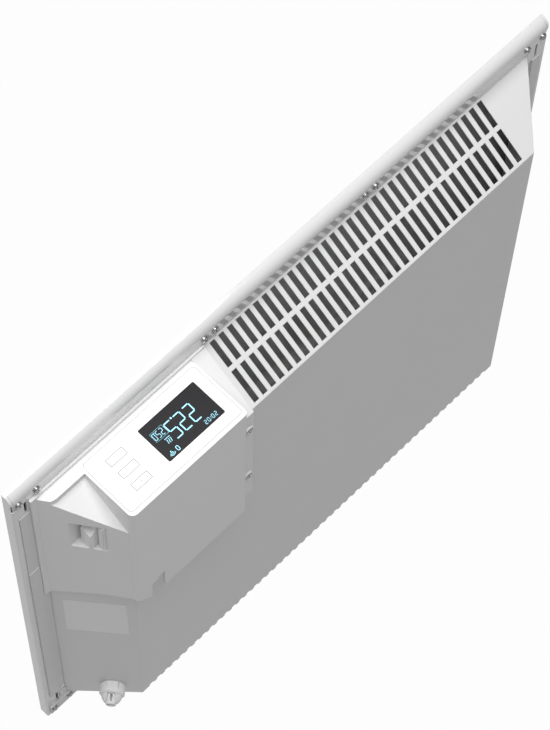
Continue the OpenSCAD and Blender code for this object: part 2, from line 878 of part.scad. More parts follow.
display_glass = 1;
display_edge = 0.5;

module display_module() {
    glass_z = board_z + board_drop - display_glass - 2 * seat;
    color("darkslategray") seated() {
        round_plate(module_w, module_d, window_r, board_z + seat, glass_z - board_z - seat, window_x, fascia_y);
        round_plate(window_w - 2 * display_edge, window_d - 2 * display_edge, window_r, glass_z, display_glass,
            window_x, fascia_y);
    }
}

module control_board() {
    x = fascia_x;
    y = fascia_at + board_in;
    color("darkgreen") seated() difference() {
        block([x - board_w / 2, x + board_w / 2], [y, y + board_d], [board_z - board_t, board_z]);
        for (place = post_places()) {
            translate([place[0], place[1], board_z - board_t - over])
                cylinder(r = board_screw_r + slip, h = board_t + 2 * over);
        }
    }
}

board_screw_l = 4.6;
board_screw_h = 1.4;

module board_screws() {
    color("silver") seated() for (place = post_places()) {
        translate([place[0], place[1], board_z - board_t - seat]) rotate([180, 0, 0])
            screw(board_screw_r * 2, board_screw_h, board_screw_r, board_screw_l);
    }
}

module button_switches() {
    w = button_switch_w;
    top = board_z + button_switch_h;
    color("black") seated() for (i = [-1, 0, 1]) {
        y = fascia_y + i * button_pitch;
        block([button_x - w / 2, button_x + w / 2], [y - w / 2, y + w / 2], [board_z + seat, top]);
        translate([button_x, y, top - seat]) cylinder(r = plunger_r, h = plunger_h + seat);
    }
}

// One push button: cap, rim under the roof and a stem over its switch
module button(i) {
    y = fascia_y + i * button_pitch;
    w = button_w - 2 * slip;
    d = button_d - 2 * slip;
    rim_top = roof_z - seat;
    stem_end = board_z + button_switch_h + plunger_h + button_travel + seat;
    block([button_x - w / 2, button_x + w / 2], [y - d / 2, y + d / 2], [rim_top - button_rim_t / 2, pod_top]);
    block([button_x - w / 2 - button_rim, button_x + w / 2 + button_rim],
        [y - d / 2 - button_rim, y + d / 2 + button_rim], [rim_top - button_rim_t, rim_top]);
    translate([button_x, y, stem_end]) cylinder(r = stem_r, h = rim_top - button_rim_t / 2 - stem_end);
}

module button_minus() {
    color("white") seated() button(-1);
}

module button_menu() {
    color("white") seated() button(0);
}

module button_plus() {
    color("white") seated() button(1);
}

radio_w = 18;
radio_d = 24;
radio_t = 0.9;
radio_can_h = 2.3;
radio_can_in = 1;
radio_off = 18;

module radio_module() {
    x = [window_x - radio_off - radio_w / 2, window_x - radio_off + radio_w / 2];
    y = [fascia_y - radio_d / 2, fascia_y + radio_d / 2];
    low = board_z - board_t - radio_t;
    color("silver") seated() {
        block(x, y, [low, board_z - board_t - seat]);
        block([x[0] + radio_can_in, x[1] - radio_can_in], [y[0] + radio_can_in, y[0] + radio_d * 0.65],
            [low - radio_can_h, low]);
    }
}

// Tub that keeps the boards away from the warm air
tub_in = 8.3;
tub_w = 64;
tub_wall = 1.5;
tub_front = 2;
tub_gap = 4.6;
tub_post_r = 3;
tub_post_h = 4;
tub_post_in = 8;
tub_post_up = 10;
tub_post_down = 16;
tub_x = [pod_left + tub_in, pod_left + tub_in + tub_w];
tub_y = [tub_front, pod_rear - pod_wall - slip];
tub_z = [floor_z + seat, board_z - board_t - tub_gap];

// Places on the power board
power_in = 4;
power_up = 5;
power_down = 10;
power_y = tub_y[0] + tub_wall + tub_post_h + seat;
power_x = [tub_x[0] + power_in, tub_x[1] - power_in];
power_z = [tub_z[0] + power_up, tub_z[1] - power_down];
face_y = power_y + board_t + seat;
screw_block_w = 4.8;
screw_block_d = 9;
screw_block_h = 9;
screw_block_up = 3;
screw_block_pitch = 5.2;
first_lead_in = 8.4;
lead_in = 4.5;
lead_hole = 3;
lead_y = face_y + lead_in;
lead_z = power_z[0] + screw_block_up - seat;

function lead_x(i) = power_x[0] + first_lead_in + i * screw_block_pitch;

module control_base() {
    color("white") seated() {
        difference() {
            block(tub_x, tub_y, tub_z);
            block([tub_x[0] + tub_wall, tub_x[1] - tub_wall], [tub_y[0] + tub_wall, tub_y[1] + over],
                [tub_z[0] + tub_wall, tub_z[1] + over]);
            block([lead_x(0) - lead_hole, lead_x(4) + lead_hole], [lead_y - lead_hole, lead_y + lead_hole],
                [tub_z[0] - over, tub_z[0] + tub_wall + over]);
        }
        for (x = [tub_x[0] + tub_post_in, tub_x[1] - tub_post_in]) {
            for (z = [tub_z[0] + tub_post_up, tub_z[1] - tub_post_down]) {
                bar_y(tub_post_r, tub_y[0] + tub_wall - seat, power_y - seat, x, z);
            }
        }
    }
}

module power_board() {
    low = power_z[0] + screw_block_up;
    color("darkgreen") seated() {
        block(power_x, [power_y, power_y + board_t], power_z);
        for (i = [0 : 4]) {
            block([lead_x(i) - screw_block_w / 2, lead_x(i) + screw_block_w / 2],
                [power_y + board_t - seat, power_y + board_t + screw_block_d], [low, low + screw_block_h]);
        }
    }
}

relay_size = [19, 15.5, 15];
relay_in = 5;
relay_up = 20;

module relay() {
    color("black") seated() translate([power_x[0] + relay_in, face_y, power_z[0] + relay_up]) cube(relay_size);
}

coil_core = [20, 3, 22];
coil_body = [16, 12, 18];
coil_down = 30;

module transformer() {
    x = power_x[1] - power_in - coil_core[0];
    z = power_z[1] - coil_down - coil_core[2];
    rim = (coil_core - coil_body) / 2;
    color("gold") seated() {
        translate([x, face_y, z]) cube(coil_core);
        translate([x + rim[0], face_y + coil_core[1] - seat, z + rim[2]]) cube(coil_body);
    }
}

capacitor_r = 5;
capacitor_l = 16;
capacitor_in = 10;
capacitor_up = 14;

module capacitor() {
    color("navy") seated()
        bar_y(capacitor_r, face_y, face_y + capacitor_l, power_x[1] - capacitor_in, power_z[0] + capacitor_up);
}

plug_w = 14;
plug_d = 5;
plug_h = 5;
plug_down = 10;
ribbon_t = 0.6;
ribbon_in = 1;
socket_in = 3;
socket_h = 4;

// Flat link from the power board up to the control board
module board_link() {
    x = power_x[0] + power_in + first_lead_in;
    top = board_z - board_t - seat;
    low = power_z[1] - plug_down;
    color("gray") seated() {
        block([x, x + plug_w], [face_y, face_y + plug_d], [low, low + plug_h]);
        block([x + ribbon_in, x + plug_w - ribbon_in], [face_y + plug_d - seat, face_y + plug_d + ribbon_t],
            [low, top - socket_h]);
        block([x, x + plug_w], [face_y + socket_in, face_y + socket_in + plug_d], [top - socket_h - seat, top]);
    }
}

// Body, bezel, guard and tabs of the rocker switch
module switch_body() {
    y = switch_y;
    z = switch_z;
    mid = (y[0] + y[1]) / 2;
    px = pocket_x - pivot_in;
    color("white") seated() difference() {
        union() {
            block([pocket_x - body_depth, pocket_x + bezel_t], y, z);
            block([pocket_x + seat, pocket_x + bezel_t], [pocket_at + 4 * seat, pocket_at + bezel_l],
                [z[0], z[1] + bezel_high]);
            block([pocket_x + bezel_t - seat, pocket_x + bezel_t + guard_t], [y[1] - guard_w, y[1]],
                [z[0] + guard_low, z[1] - guard_high]);
            for (at = [z[0] + spade_at, z[1] - spade_at]) {
                block([pocket_x - body_depth - spade_l, pocket_x - body_depth + seat],
                    [mid - spade_w / 2, mid + spade_w / 2], [at - spade_t / 2, at + spade_t / 2]);
            }
        }
        // well of the rocker
        block([pocket_x - well_in, half_w], [rocker_y - well_gap, rocker_y + rocker_w + well_gap],
            [pivot_z - rocker_low - well_low, pivot_z + rocker_high + well_high]);
        block([pocket_x - body_depth + core_in, pocket_x], [rocker_y + core_in, rocker_y + rocker_w - core_in],
            [pivot_z - core_half, pivot_z + core_half]);
        bar_y(pivot_r + seat, rocker_y + pivot_seat, rocker_y + rocker_w - pivot_seat, px, pivot_z);
    }
}

// Rocker: raised lower half, flat upper half, stem and pivot pin
module power_rocker() {
    px = pocket_x - pivot_in;
    flat = pocket_x + rocker_flat;
    back = pocket_x - rocker_back;
    color("white") seated() {
        translate([0, rocker_y + rocker_w, 0]) rotate([90, 0, 0]) linear_extrude(height = rocker_w)
            polygon([[pocket_x + rocker_foot, pivot_z - rocker_low], [pocket_x + rocker_out, pivot_z - rocker_low],
                [pocket_x + rocker_out, pivot_z + rocker_crest], [flat, pivot_z + rocker_step],
                [flat - rocker_lean, pivot_z + rocker_high], [back, pivot_z + rocker_high], [back, pivot_z]]);
        block([px - stem_deep, back + slip], [rocker_y + stem_in, rocker_y + rocker_w - stem_in],
            [pivot_z - stem_half, pivot_z + stem_half]);
        bar_y(pivot_r, rocker_y + pivot_end, rocker_y + rocker_w - pivot_end, px, pivot_z);
    }
}

// Cable gland on the slanted wall, its axis square to the wall
gland_tail = 9;
gland_thread_top = 6;
collar_in = 0.9;
collar_h = 0.6;
nut_grooves = 12;
nut_groove_w = 1.1;
nut_groove_in = 1.2;
nut_groove_share = 0.66;
nut_chamfer = 0.8;
nut_lid = 2.2;
nut_mouth = 0.6;
claw_neck = 0.75;
claw_low = 2;
claw_gap = 6;
dome_in = 1.7;
dome_drop = 0.4;
sleeve_tail = 6;
sleeve_edge = 0.5;
slit_w = 1.6;
slit_end = 2.1;
locknut_h = 3.5;

module gland_frame() {
    seated() on_wall(gland_along, gland_up) rotate([0, 90, 0]) children();
}

module tube(outer, inner, low, high) {
    difference() {
        translate([0, 0, low]) cylinder(r = outer, h = high - low);
        translate([0, 0, low - over]) cylinder(r = inner, h = high - low + 2 * over);
    }
}

module gland_body() {
    inner = sleeve_r + 3 * seat;
    color("white") gland_frame() {
        tube(gland_body_r, inner, -gland_tail, gland_thread_top);
        tube(gland_nut_r - collar_in, gland_body_r - seat, seat, collar_h + seat);
    }
}

module gland_nut() {
    base = collar_h + 2 * seat;
    color("white") gland_frame() difference() {
        union() {
            translate([0, 0, base]) cylinder(r = gland_nut_r, h = gland_nut_l - base - nut_chamfer);
            translate([0, 0, gland_nut_l - nut_chamfer - seat])
                cylinder(r1 = gland_nut_r, r2 = gland_nut_r - nut_chamfer, h = nut_chamfer + seat);
        }
        cylinder(r = gland_body_r + slip, h = gland_nut_l - nut_lid);
        cylinder(r = gland_body_r - nut_mouth, h = gland_nut_l + over);
        for (i = [0 : nut_grooves - 1]) {
            rotate([0, 0, i * 360 / nut_grooves]) translate([gland_nut_r - nut_groove_in, -nut_groove_w / 2, 0])
                cube([nut_groove_in + over, nut_groove_w, gland_nut_l * nut_groove_share]);
        }
    }
}

// Two jaws on a neck, a split dome that grips the sleeve
module gland_claw() {
    start = gland_nut_l - claw_low;
    dome_z = gland_nut_l + seat;
    ball_r = gland_nut_r - dome_in + slip;
    color("white") gland_frame() difference() {
        union() {
            translate([0, 0, start]) cylinder(r = gland_body_r - claw_neck, h = claw_low + collar_h);
            translate([0, 0, dome_z]) intersection() {
                cylinder(r = gland_nut_r - dome_in, h = dome_l);
                translate([0, 0, -dome_drop]) sphere(r = ball_r);
            }
        }
        translate([0, 0, start - over]) cylinder(r = sleeve_r + 2 * seat, h = dome_l + claw_low + 4 * over);
        translate([-gland_nut_r, -claw_gap / 2, dome_z]) cube([2 * gland_nut_r, claw_gap, dome_l + over]);
    }
}

module gland_sleeve() {
    color("white") gland_frame() difference() {
        union() {
            translate([0, 0, -sleeve_tail]) cylinder(r = sleeve_r, h = sleeve_tail + sleeve_out - sleeve_edge);
            translate([0, 0, sleeve_out - sleeve_edge - seat])
                cylinder(r1 = sleeve_r, r2 = sleeve_r - sleeve_edge, h = sleeve_edge + seat);
        }
        translate([0, 0, -sleeve_tail - over]) cylinder(r = cord_bore_r, h = sleeve_tail + sleeve_out + 2 * over);
        hull() {
            for (z = [gland_nut_l, sleeve_out - slit_end - slit_w / 2]) {
                translate([-sleeve_r - over, 0, z]) rotate([0, 90, 0])
                    cylinder(d = slit_w, h = sleeve_r + over - cord_bore_r / 2);
            }
        }
    }
}

module gland_locknut() {
    top = -case_t - seat;
    color("white") gland_frame() difference() {
        translate([0, 0, top - locknut_h]) cylinder(r = gland_nut_r, h = locknut_h, $fn = 6);
        translate([0, 0, top - locknut_h - over]) cylinder(r = gland_body_r + slip, h = locknut_h + 2 * over);
    }
}

// Finned element: plate, ribs and a rod through its middle
module heating_element() {
    rod_half = element_half + bush_l + rod_end;
    color("silver") seated() {
        along_x(2 * element_half) {
            translate([element_y - fin_t / 2, element_up - fin_h / 2]) square([fin_t, fin_h]);
            for (i = [0 : rib_n - 1]) {
                z = element_up - fin_h / 2 + (i + 0.5) * fin_h / rib_n;
                translate([element_y - fin_d / 2, z - rib_t / 2]) square([fin_d, rib_t]);
            }
        }
        translate([-rod_half, element_y, element_up]) rotate([0, 90, 0]) cylinder(r = rod_r, h = 2 * rod_half);
    }
}

module element_brackets() {
    x = element_half + bush_l / 2;
    z = [element_up - bracket_half_h, element_up + bracket_half_h];
    color("lightgray") seated() for (s = [-1, 1]) {
        difference() {
            union() {
                block([s * x - bracket_t / 2, s * x + bracket_t / 2], [element_y - bracket_nose, back_y], z);
                block(s > 0 ? [x - bracket_foot, x] : [-x, -x + bracket_foot], [back_y - bracket_t, back_y], z);
            }
            translate([s * x - over, element_y, element_up]) rotate([0, 90, 0])
                cylinder(r = bush_r - bush_neck + seat, h = 2 * over);
        }
    }
}

module ceramic_bushes() {
    x = element_half + bush_l / 2;
    lip_z = bracket_t / 2 + seat;
    color("ivory") seated() for (s = [-1, 1]) {
        translate([s * x, element_y, element_up]) rotate([0, 90, 0]) difference() {
            union() {
                translate([0, 0, -bush_l / 2 + seat]) cylinder(r = bush_r - bush_neck, h = bush_l - 2 * seat);
                for (low = [-lip_z - bush_lip, lip_z]) {
                    translate([0, 0, low]) cylinder(r = bush_r, h = bush_lip);
                }
            }
            translate([0, 0, -bush_l]) cylinder(r = rod_r + seat, h = 2 * bush_l);
        }
    }
}

// Tags on the ends of the rod
module element_terminals() {
    end = element_half + bush_l + rod_end + seat;
    color("silver") seated() for (s = [-1, 1]) {
        block(s > 0 ? [end, end + spade_t] : [-end - spade_t, -end],
            [element_y - spade_w / 2, element_y + spade_w / 2], [element_up - tag_low, element_up + tag_high]);
    }
}

// Places of the terminal block and the earth stud
block_size = [32, 13, 12];
block_in = 3.5;
block_above = 20;
block_x = case_rear_half - block_in - block_size[0];
block_z = base_up + block_above;
pole_in = 6;
pole_pitch = 10;
pole_back = 9;
pole_r = 2;
pole_screw_r = 2.4;
stud_in = 14;
stud_above = 17;
stud_r = 2;
stud_l = 12;
stud_nut_r = 4;
stud_nut_t = 3;
stud_tag_t = 1;
stud_tag_half = 3.5;
stud_tag_up = 8;

// Sheet between the element and the casing's back, on four feet
module heat_shield() {
    y = case_d - case_t - shield_in;
    half = block_x - shield_gap;
    low = element_up - shield_h * shield_low_share;
    color("silver") seated() {
        block([-half, half], [y - shield_t, y], [low, low + shield_h]);
        for (x = [-half + shield_foot_in, half - shield_foot_in]) {
            for (z = [low + shield_foot_in, low + shield_h - shield_foot_in]) {
                bar_y(shield_foot_r, y - seat, back_y, x, z);
            }
        }
    }
}

cutout_r = 8.5;
cutout_t = 7;
cutout_share = 0.4;
cutout_x = -60;
cutout_tab_x = 6;
cutout_tab_l = 6;

module thermal_cutout() {
    back = case_d - case_t - shield_in - shield_t - seat;
    z = element_up + shield_h * cutout_share;
    color("black") seated() {
        bar_y(cutout_r, back - cutout_t, back, cutout_x, z);
        for (x = [cutout_x - cutout_tab_x, cutout_x + cutout_tab_x]) {
            block([x - spade_t / 2, x + spade_t / 2], [back - cutout_t - cutout_tab_l, back - cutout_t + seat],
                [z - spade_w / 2, z + spade_w / 2]);
        }
    }
}

module terminal_block() {
    front = back_y - block_size[1];
    color("ivory") seated() difference() {
        translate([block_x, front, block_z]) cube(block_size);
        for (i = [0 : 2]) {
            x = block_x + pole_in + i * pole_pitch;
            translate([x, back_y - pole_back, block_z - over]) cylinder(r = pole_r, h = block_size[2] + 2 * over);
            bar_y(pole_screw_r, front - over, back_y - pole_back, x, block_z + block_size[2] / 2);
        }
    }
}

module earth_stud() {
    x = block_x - stud_in;
    z = base_up + stud_above;
    color("goldenrod") seated() {
        bar_y(stud_r, back_y - stud_l, back_y, x, z);
        translate([x, back_y - stud_l / 2, z]) rotate([-90, 0, 0]) cylinder(r = stud_nut_r, h = stud_nut_t, $fn = 6);
        block([x - stud_tag_half, x + stud_tag_half], [back_y - stud_l / 2 + stud_nut_t - seat,
            back_y - stud_l / 2 + stud_nut_t + stud_tag_t], [z - stud_tag_half, z + stud_tag_up]);
    }
}

// Temperature bead in a clip on the inside of the slanted wall
sensor_along = 16;
sensor_above = 46;
sensor_clip = [7, 10, 8];
sensor_deep = 4;
bead_r = 2;
bead_l = 10;

module room_sensor() {
    low = -sensor_clip[2] / 2;
    color("black") seated() on_wall(sensor_along, base_up + sensor_above) {
        translate([-case_t - seat - sensor_clip[0], -sensor_clip[1] / 2, low]) cube(sensor_clip);
        translate([-case_t - sensor_deep, 0, low - bead_l]) cylinder(r = bead_r, h = bead_l + seat);
        translate([-case_t - sensor_deep, 0, low - bead_l]) sphere(r = bead_r);
    }
}

// Routes of the leads: up in front of the element, side by side, and into the tub
lead_front = 4;
lead_stub = 3;
lead_bend = 14;
supply_lead_r = 1.2;
element_lead_r = 1.3;
sensor_lead_r = 1;
rise_shares = [0.35, 0.75];
side_shares = [0.15, 0.8];
lead_low = element_up + fin_h / 2 + lead_bend;

function lead_way(x, i) = let (high = tub_z[0] - lead_bend) concat(
    [for (k = [0, 1]) [x + side_shares[k] * (lead_x(i) - x), lead_front,
        lead_low + rise_shares[k] * (high - lead_low)]],
    [[lead_x(i), lead_y, high], [lead_x(i), lead_y, lead_z]]);

module supply_leads() {
    y = back_y - pole_back;
    top = block_z + block_size[2];
    color("brown") seated() for (i = [0, 1]) {
        x = block_x + pole_in + i * pole_pitch;
        wire(concat([[x, y, top - lead_stub], [x, y, top + lead_stub], [x, lead_front, top + 2 * lead_stub],
            [x, lead_front, lead_low]], lead_way(x, i + 1)), supply_lead_r);
    }
}

module element_leads() {
    x = element_half + bush_l + rod_end + spade_t / 2;
    top = element_up + tag_high + seat;
    color("brown") seated() for (end = [[-x, 0], [x, 3]]) {
        wire(concat([[end[0], element_y, top], [end[0], element_y, top + lead_stub],
            [end[0], lead_front, lead_low + lead_bend]], lead_way(end[0], end[1])), element_lead_r);
    }
}

module sensor_lead() {
    x = case_half - sensor_along * sin(wall_a) - sensor_deep * cos(wall_a);
    y = sensor_along * cos(wall_a) - sensor_deep * sin(wall_a);
    z = base_up + sensor_above + sensor_clip[2] / 2 + seat;
    color("dimgray") seated() wire(concat([[x, y, z], [x, y, z + lead_stub], [x, lead_front, lead_low]],
        lead_way(x, 4)), sensor_lead_r);
}

// Bare label on the slanted wall
label_along = 7;
label_up = pod_base - label_gap - label_h;
label_t = 0.15;

module rating_label() {
    color("lightgray") seated() on_wall(label_along, label_up) translate([seat, 0, 0])
        cube([label_t, label_l, label_h]);
}

front_panel();
back_casing();
side_strips();
corner_plates();
panel_screws();
control_housing();
housing_screws();
control_fascia();
display_window();
display_module();
control_board();
board_screws();
button_switches();
button_minus();
button_menu();
button_plus();
radio_module();
control_base();
power_board();
relay();
transformer();
capacitor();
board_link();
switch_body();
power_rocker();
gland_body();
gland_nut();
gland_claw();
gland_sleeve();
gland_locknut();
heating_element();
element_brackets();
ceramic_bushes();
element_terminals();
heat_shield();
thermal_cutout();
terminal_block();
earth_stud();
room_sensor();
supply_leads();
element_leads();
sensor_lead();
rating_label();
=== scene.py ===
"""Dresses a wall panel convector heater and sets up a plain studio round it.

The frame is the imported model's own: metres, +X to the end with the control pod, +Y to the wall,
+Z up, and the origin on the flat back of the casing at half the panel's height. The sizes and places
of the drawn pieces are in millimetres, and their meshes are in metres.
"""
import logging
import math
from dataclasses import dataclass, field
from enum import Enum
from functools import cache
from typing import Protocol

import bpy
import numpy as np
from mathutils import Matrix, Vector


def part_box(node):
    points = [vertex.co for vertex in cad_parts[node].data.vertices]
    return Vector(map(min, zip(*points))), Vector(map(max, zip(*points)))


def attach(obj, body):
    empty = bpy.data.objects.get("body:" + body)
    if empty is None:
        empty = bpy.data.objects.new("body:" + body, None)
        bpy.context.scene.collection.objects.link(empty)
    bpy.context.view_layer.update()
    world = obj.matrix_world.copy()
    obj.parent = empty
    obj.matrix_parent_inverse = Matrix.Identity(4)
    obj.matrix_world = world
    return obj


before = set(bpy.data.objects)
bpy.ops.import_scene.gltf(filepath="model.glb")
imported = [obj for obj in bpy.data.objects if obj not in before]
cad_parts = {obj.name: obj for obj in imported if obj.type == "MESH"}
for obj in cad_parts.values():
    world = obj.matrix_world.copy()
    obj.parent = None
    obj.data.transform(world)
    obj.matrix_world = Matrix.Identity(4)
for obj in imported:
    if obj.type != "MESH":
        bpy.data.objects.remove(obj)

LOG = logging.getLogger("heater")
MM = 0.001
MICRON = 0.000001
BODY = "heater"
# the UV that carries the tone of the painted shade on the screw heads
UV_NAME = "shade_tone"
WHITE = (1.0, 1.0, 1.0, 1.0)
Colour = tuple[float, float, float]
Place = tuple[float, float, float]
Mesh = tuple[np.ndarray, np.ndarray]


# Shader maths

class Value:
    """A shader socket that adds Math nodes where Python adds or multiplies it."""

    def __init__(self, tree: "Tree", socket: bpy.types.NodeSocket | None) -> None:
        """Keeps the socket and the tree that it belongs to."""
        self.tree = tree
        self.socket = socket

    def math(self, operation: str, other: "Value | float") -> "Value":
        """Adds one Math node on this value and another."""
        return self.tree.add("ShaderNodeMath", {"operation": operation}, {0: self, 1: other})

    def __add__(self, other: "Value | float") -> "Value":
        """Sum."""
        return self.math("ADD", other)

    def __mul__(self, other: "Value | float") -> "Value":
        """Product."""
        return self.math("MULTIPLY", other)

    __radd__ = __add__
    __rmul__ = __mul__


# What changes over a surface: its colour, its roughness and its height from 0 to 1
Pattern = tuple[Value, Value, Value]


class Tree:
    """The node tree of one material or world."""

    BEVEL_SAMPLES = 6

    def __init__(self, owner: bpy.types.Material | bpy.types.World) -> None:
        """Starts an empty tree.

        Args:
            owner: The material or world that the tree belongs to.
        """
        owner.use_nodes = True
        self.nodes = owner.node_tree.nodes
        self.links = owner.node_tree.links
        self.nodes.clear()

    def add(self, kind: str, settings: dict[str, object] | None = None,
            inputs: dict[int | str, object] | None = None, out: int | str = 0) -> Value:
        """Adds a node of any type.

        Args:
            kind: The node's type.
            settings: Its properties; "stops" holds a ramp's (position, grey) pairs.
            inputs: Values or sockets by input name or number.
            out: Which output to return.

        Returns:
            The chosen output, or a value without a socket for a node that has no output.
        """
        node = self.nodes.new(kind)
        for key, value in (settings or {}).items():
            if key == "stops":
                self.fill_ramp(node.color_ramp, value)
            else:
                setattr(node, key, value)
        for key, value in (inputs or {}).items():
            if isinstance(value, Value):
                self.links.new(value.socket, node.inputs[key])
            else:
                node.inputs[key].default_value = value
        return Value(self, node.outputs[out] if node.outputs else None)

    @staticmethod
    def fill_ramp(ramp: bpy.types.ColorRamp, stops: list[tuple[float, float]]) -> None:
        """Puts the stops on a colour ramp.

        Args:
            ramp: The ramp, which has at least one stop already.
            stops: The position and the grey of each stop.
        """
        while len(ramp.elements) > 1:
            ramp.elements.remove(ramp.elements[-1])
        for index, (position, grey) in enumerate(stops):
            element = ramp.elements[0] if index == 0 else ramp.elements.new(position)
            element.position = position
            element.color = (grey, grey, grey, 1.0)

    def place(self) -> Value:
        """Object coordinates, which are the part's own metres."""
        return self.add("ShaderNodeTexCoord", out="Object")

    def noise(self, scale: float, detail: float = 2.0, rough: float = 0.5,
              at: Value | None = None) -> Value:
        """Noise on the part's own metres, from 0 to 1."""
        return self.add("ShaderNodeTexNoise", {}, {"Vector": at or self.place(), "Scale": scale,
                                                   "Detail": detail, "Roughness": rough})

    def tint(self, low: Colour, high: Colour, share: Value) -> Value:
        """Mixes two colours by a share."""
        return self.add("ShaderNodeMix", {"data_type": "RGBA"},
                        {0: share, 6: (*low, 1.0), 7: (*high, 1.0)}, out=2)

    def bump(self, height: Value, depth: float, rounding: float) -> Value:
        """Normal from a height, over edges that look rounded.

        Args:
            height: The height, from 0 to 1.
            depth: The depth of a height of 1, in metres.
            rounding: The radius of the rounded edges, in metres, or 0 for sharp ones.

        Returns:
            The normal.
        """
        inputs: dict[int | str, object] = {"Height": height, "Distance": depth, "Strength": 1.0}
        if rounding > 0:
            inputs["Normal"] = self.add("ShaderNodeBevel", {"samples": self.BEVEL_SAMPLES},
                                        {"Radius": rounding})
        return self.add("ShaderNodeBump", {}, inputs)


# Finishes

@dataclass(frozen=True)
class Finish:
    """A painted, moulded or plated surface with a slow cloud and a fine grain.

    The cloud and the grain are given as noise scales, in repeats to the metre, and the grain's depth
    and the rounding of the edges in metres. A share is how far the cloud reaches into the colour, or
    the cloud and the grain into the roughness.
    """

    name: str
    colour: Colour
    roughness: float
    metallic: float = 0.0
    coat: float = 0.0
    specular: float = 0.5
    grain: float = 1500.0
    grain_depth: float = 4 * MICRON
    cloud: float = 9.0
    cloud_detail: float = 3.0
    cloud_share: float = 0.03
    rough_share: float = 0.05
    rounding: float = 0.5 * MM
    glow: float = 0.0

    def dimmed(self) -> Colour:
        """The colour where the cloud is darkest."""
        return tuple(channel * (1.0 - self.cloud_share) for channel in self.colour)

    def pattern(self, tree: Tree) -> Pattern:
        """Lets the cloud tint the colour and the gloss, and the grain lift the surface.

        The cloud moves the roughness twice as far as the grain does, about the finish's own roughness.

        Args:
            tree: The material's tree.

        Returns:
            The colour, the roughness and the height.
        """
        slow = tree.noise(self.cloud, self.cloud_detail)
        fine = tree.noise(self.grain)
        by_cloud, by_grain = 2 * self.rough_share, self.rough_share
        smoothest = self.roughness - (by_cloud + by_grain) / 2
        rough = slow * by_cloud + fine * by_grain + smoothest
        return tree.tint(self.dimmed(), self.colour, slow), rough, fine

    def material(self) -> bpy.types.Material:
        """Builds the material: the pattern in a principled shader, with the glow where there is one.

        Returns:
            The material.
        """
        material = bpy.data.materials.new(self.name)
        tree = Tree(material)
        colour, rough, height = self.pattern(tree)
        inputs: dict[int | str, object] = {
            "Base Color": colour, "Roughness": rough, "Metallic": self.metallic,
            "Coat Weight": self.coat, "Specular IOR Level": self.specular,
            "Normal": tree.bump(height, self.grain_depth, self.rounding)}
        if self.glow > 0:
            inputs["Emission Color"] = (*self.colour, 1.0)
            inputs["Emission Strength"] = self.glow
        shader = tree.add("ShaderNodeBsdfPrincipled", {}, inputs)
        tree.add("ShaderNodeOutputMaterial", {}, {"Surface": shader})
        return material


@dataclass(frozen=True)
class DrawnMetal(Finish):
    """Sheet metal with fine lines along X from rolling."""

    cloud_detail: float = 2.0
    stretch: float = 0.04
    line_detail: float = 3.0
    line_rough: float = 0.6

    def pattern(self, tree: Tree) -> Pattern:
        """Draws the grain out along X, and lets it and the cloud move the roughness alike.

        Args:
            tree: The material's tree.

        Returns:
            The colour, the roughness and the height.
        """
        drawn = tree.add("ShaderNodeMapping", {}, {"Vector": tree.place(),
                                                   "Scale": (self.stretch, 1.0, 1.0)})
        lines = tree.noise(self.grain, self.line_detail, self.line_rough, drawn)
        slow = tree.noise(self.cloud, self.cloud_detail)
        smoothest = self.roughness - self.rough_share
        rough = lines * self.rough_share + slow * self.rough_share + smoothest
        return tree.tint(self.dimmed(), self.colour, slow), rough, lines


@dataclass(frozen=True)
class CircuitBoard(Finish):
    """Solder mask over copper tracks that run between angular cells.

    The cells are a noise scale, in repeats to the metre. A track fades in over the edge, which is the
    distance from a cell's middle at which it starts and at which it is full.
    """

    cells: float = 420.0
    track_edge: tuple[float, float] = (0.25, 0.32)
    track_gain: float = 1.6
    track_lift: float = 0.02
    track_rough: float = 0.1

    def pattern(self, tree: Tree) -> Pattern:
        """Makes the tracks paler, rougher and higher than the mask between them.

        Args:
            tree: The material's tree.

        Returns:
            The colour, the roughness and the height.
        """
        distance = tree.add("ShaderNodeTexVoronoi", {"distance": "MANHATTAN"},
                            {"Vector": tree.place(), "Scale": self.cells})
        start, full = self.track_edge
        tracks = tree.add("ShaderNodeValToRGB", {"stops": [(start, 0.0), (full, 1.0)]}, {0: distance})
        pale = tuple(min(1.0, part * self.track_gain + self.track_lift) for part in self.colour)
        return tree.tint(self.colour, pale, tracks), tracks * self.track_rough + self.roughness, tracks


@dataclass(frozen=True)
class ScrewPlatingAndShade(Finish):
    """Plated screw head, darkened in its recess and at its rim by painted shade.

    The piece's own UV holds the painted shade's tone as its u, from 0 in the recess to 1 on top. The
    recess and the rim are greys of painted shade, and the rim's grey is reached at the rim's tone.
    """

    recess_shade: float = 0.02
    rim_shade: float = 0.12
    rim_shade_tone: float = 0.45
    shade_share: float = 0.03

    def pattern(self, tree: Tree) -> Pattern:
        """Darkens the plating by the tone, as painted shade in the recess and at the rim.

        Args:
            tree: The material's tree.

        Returns:
            The colour, the roughness and the height.
        """
        along_u = tree.add("ShaderNodeUVMap", {"uv_map": UV_NAME})
        share = tree.add("ShaderNodeSeparateXYZ", {}, {0: along_u})
        stops = [(0.0, self.recess_shade), (self.rim_shade_tone, self.rim_shade), (1.0, 1.0)]
        shade_tone = tree.add("ShaderNodeValToRGB", {"stops": stops}, {0: share})
        fine = tree.noise(self.grain)
        # painted shade: the recess and the rim darken towards a shaded copy of the plating's colour
        shade_colour = tuple(channel * self.shade_share for channel in self.colour)
        return tree.tint(shade_colour, self.colour, shade_tone), fine * self.rough_share + self.roughness, fine


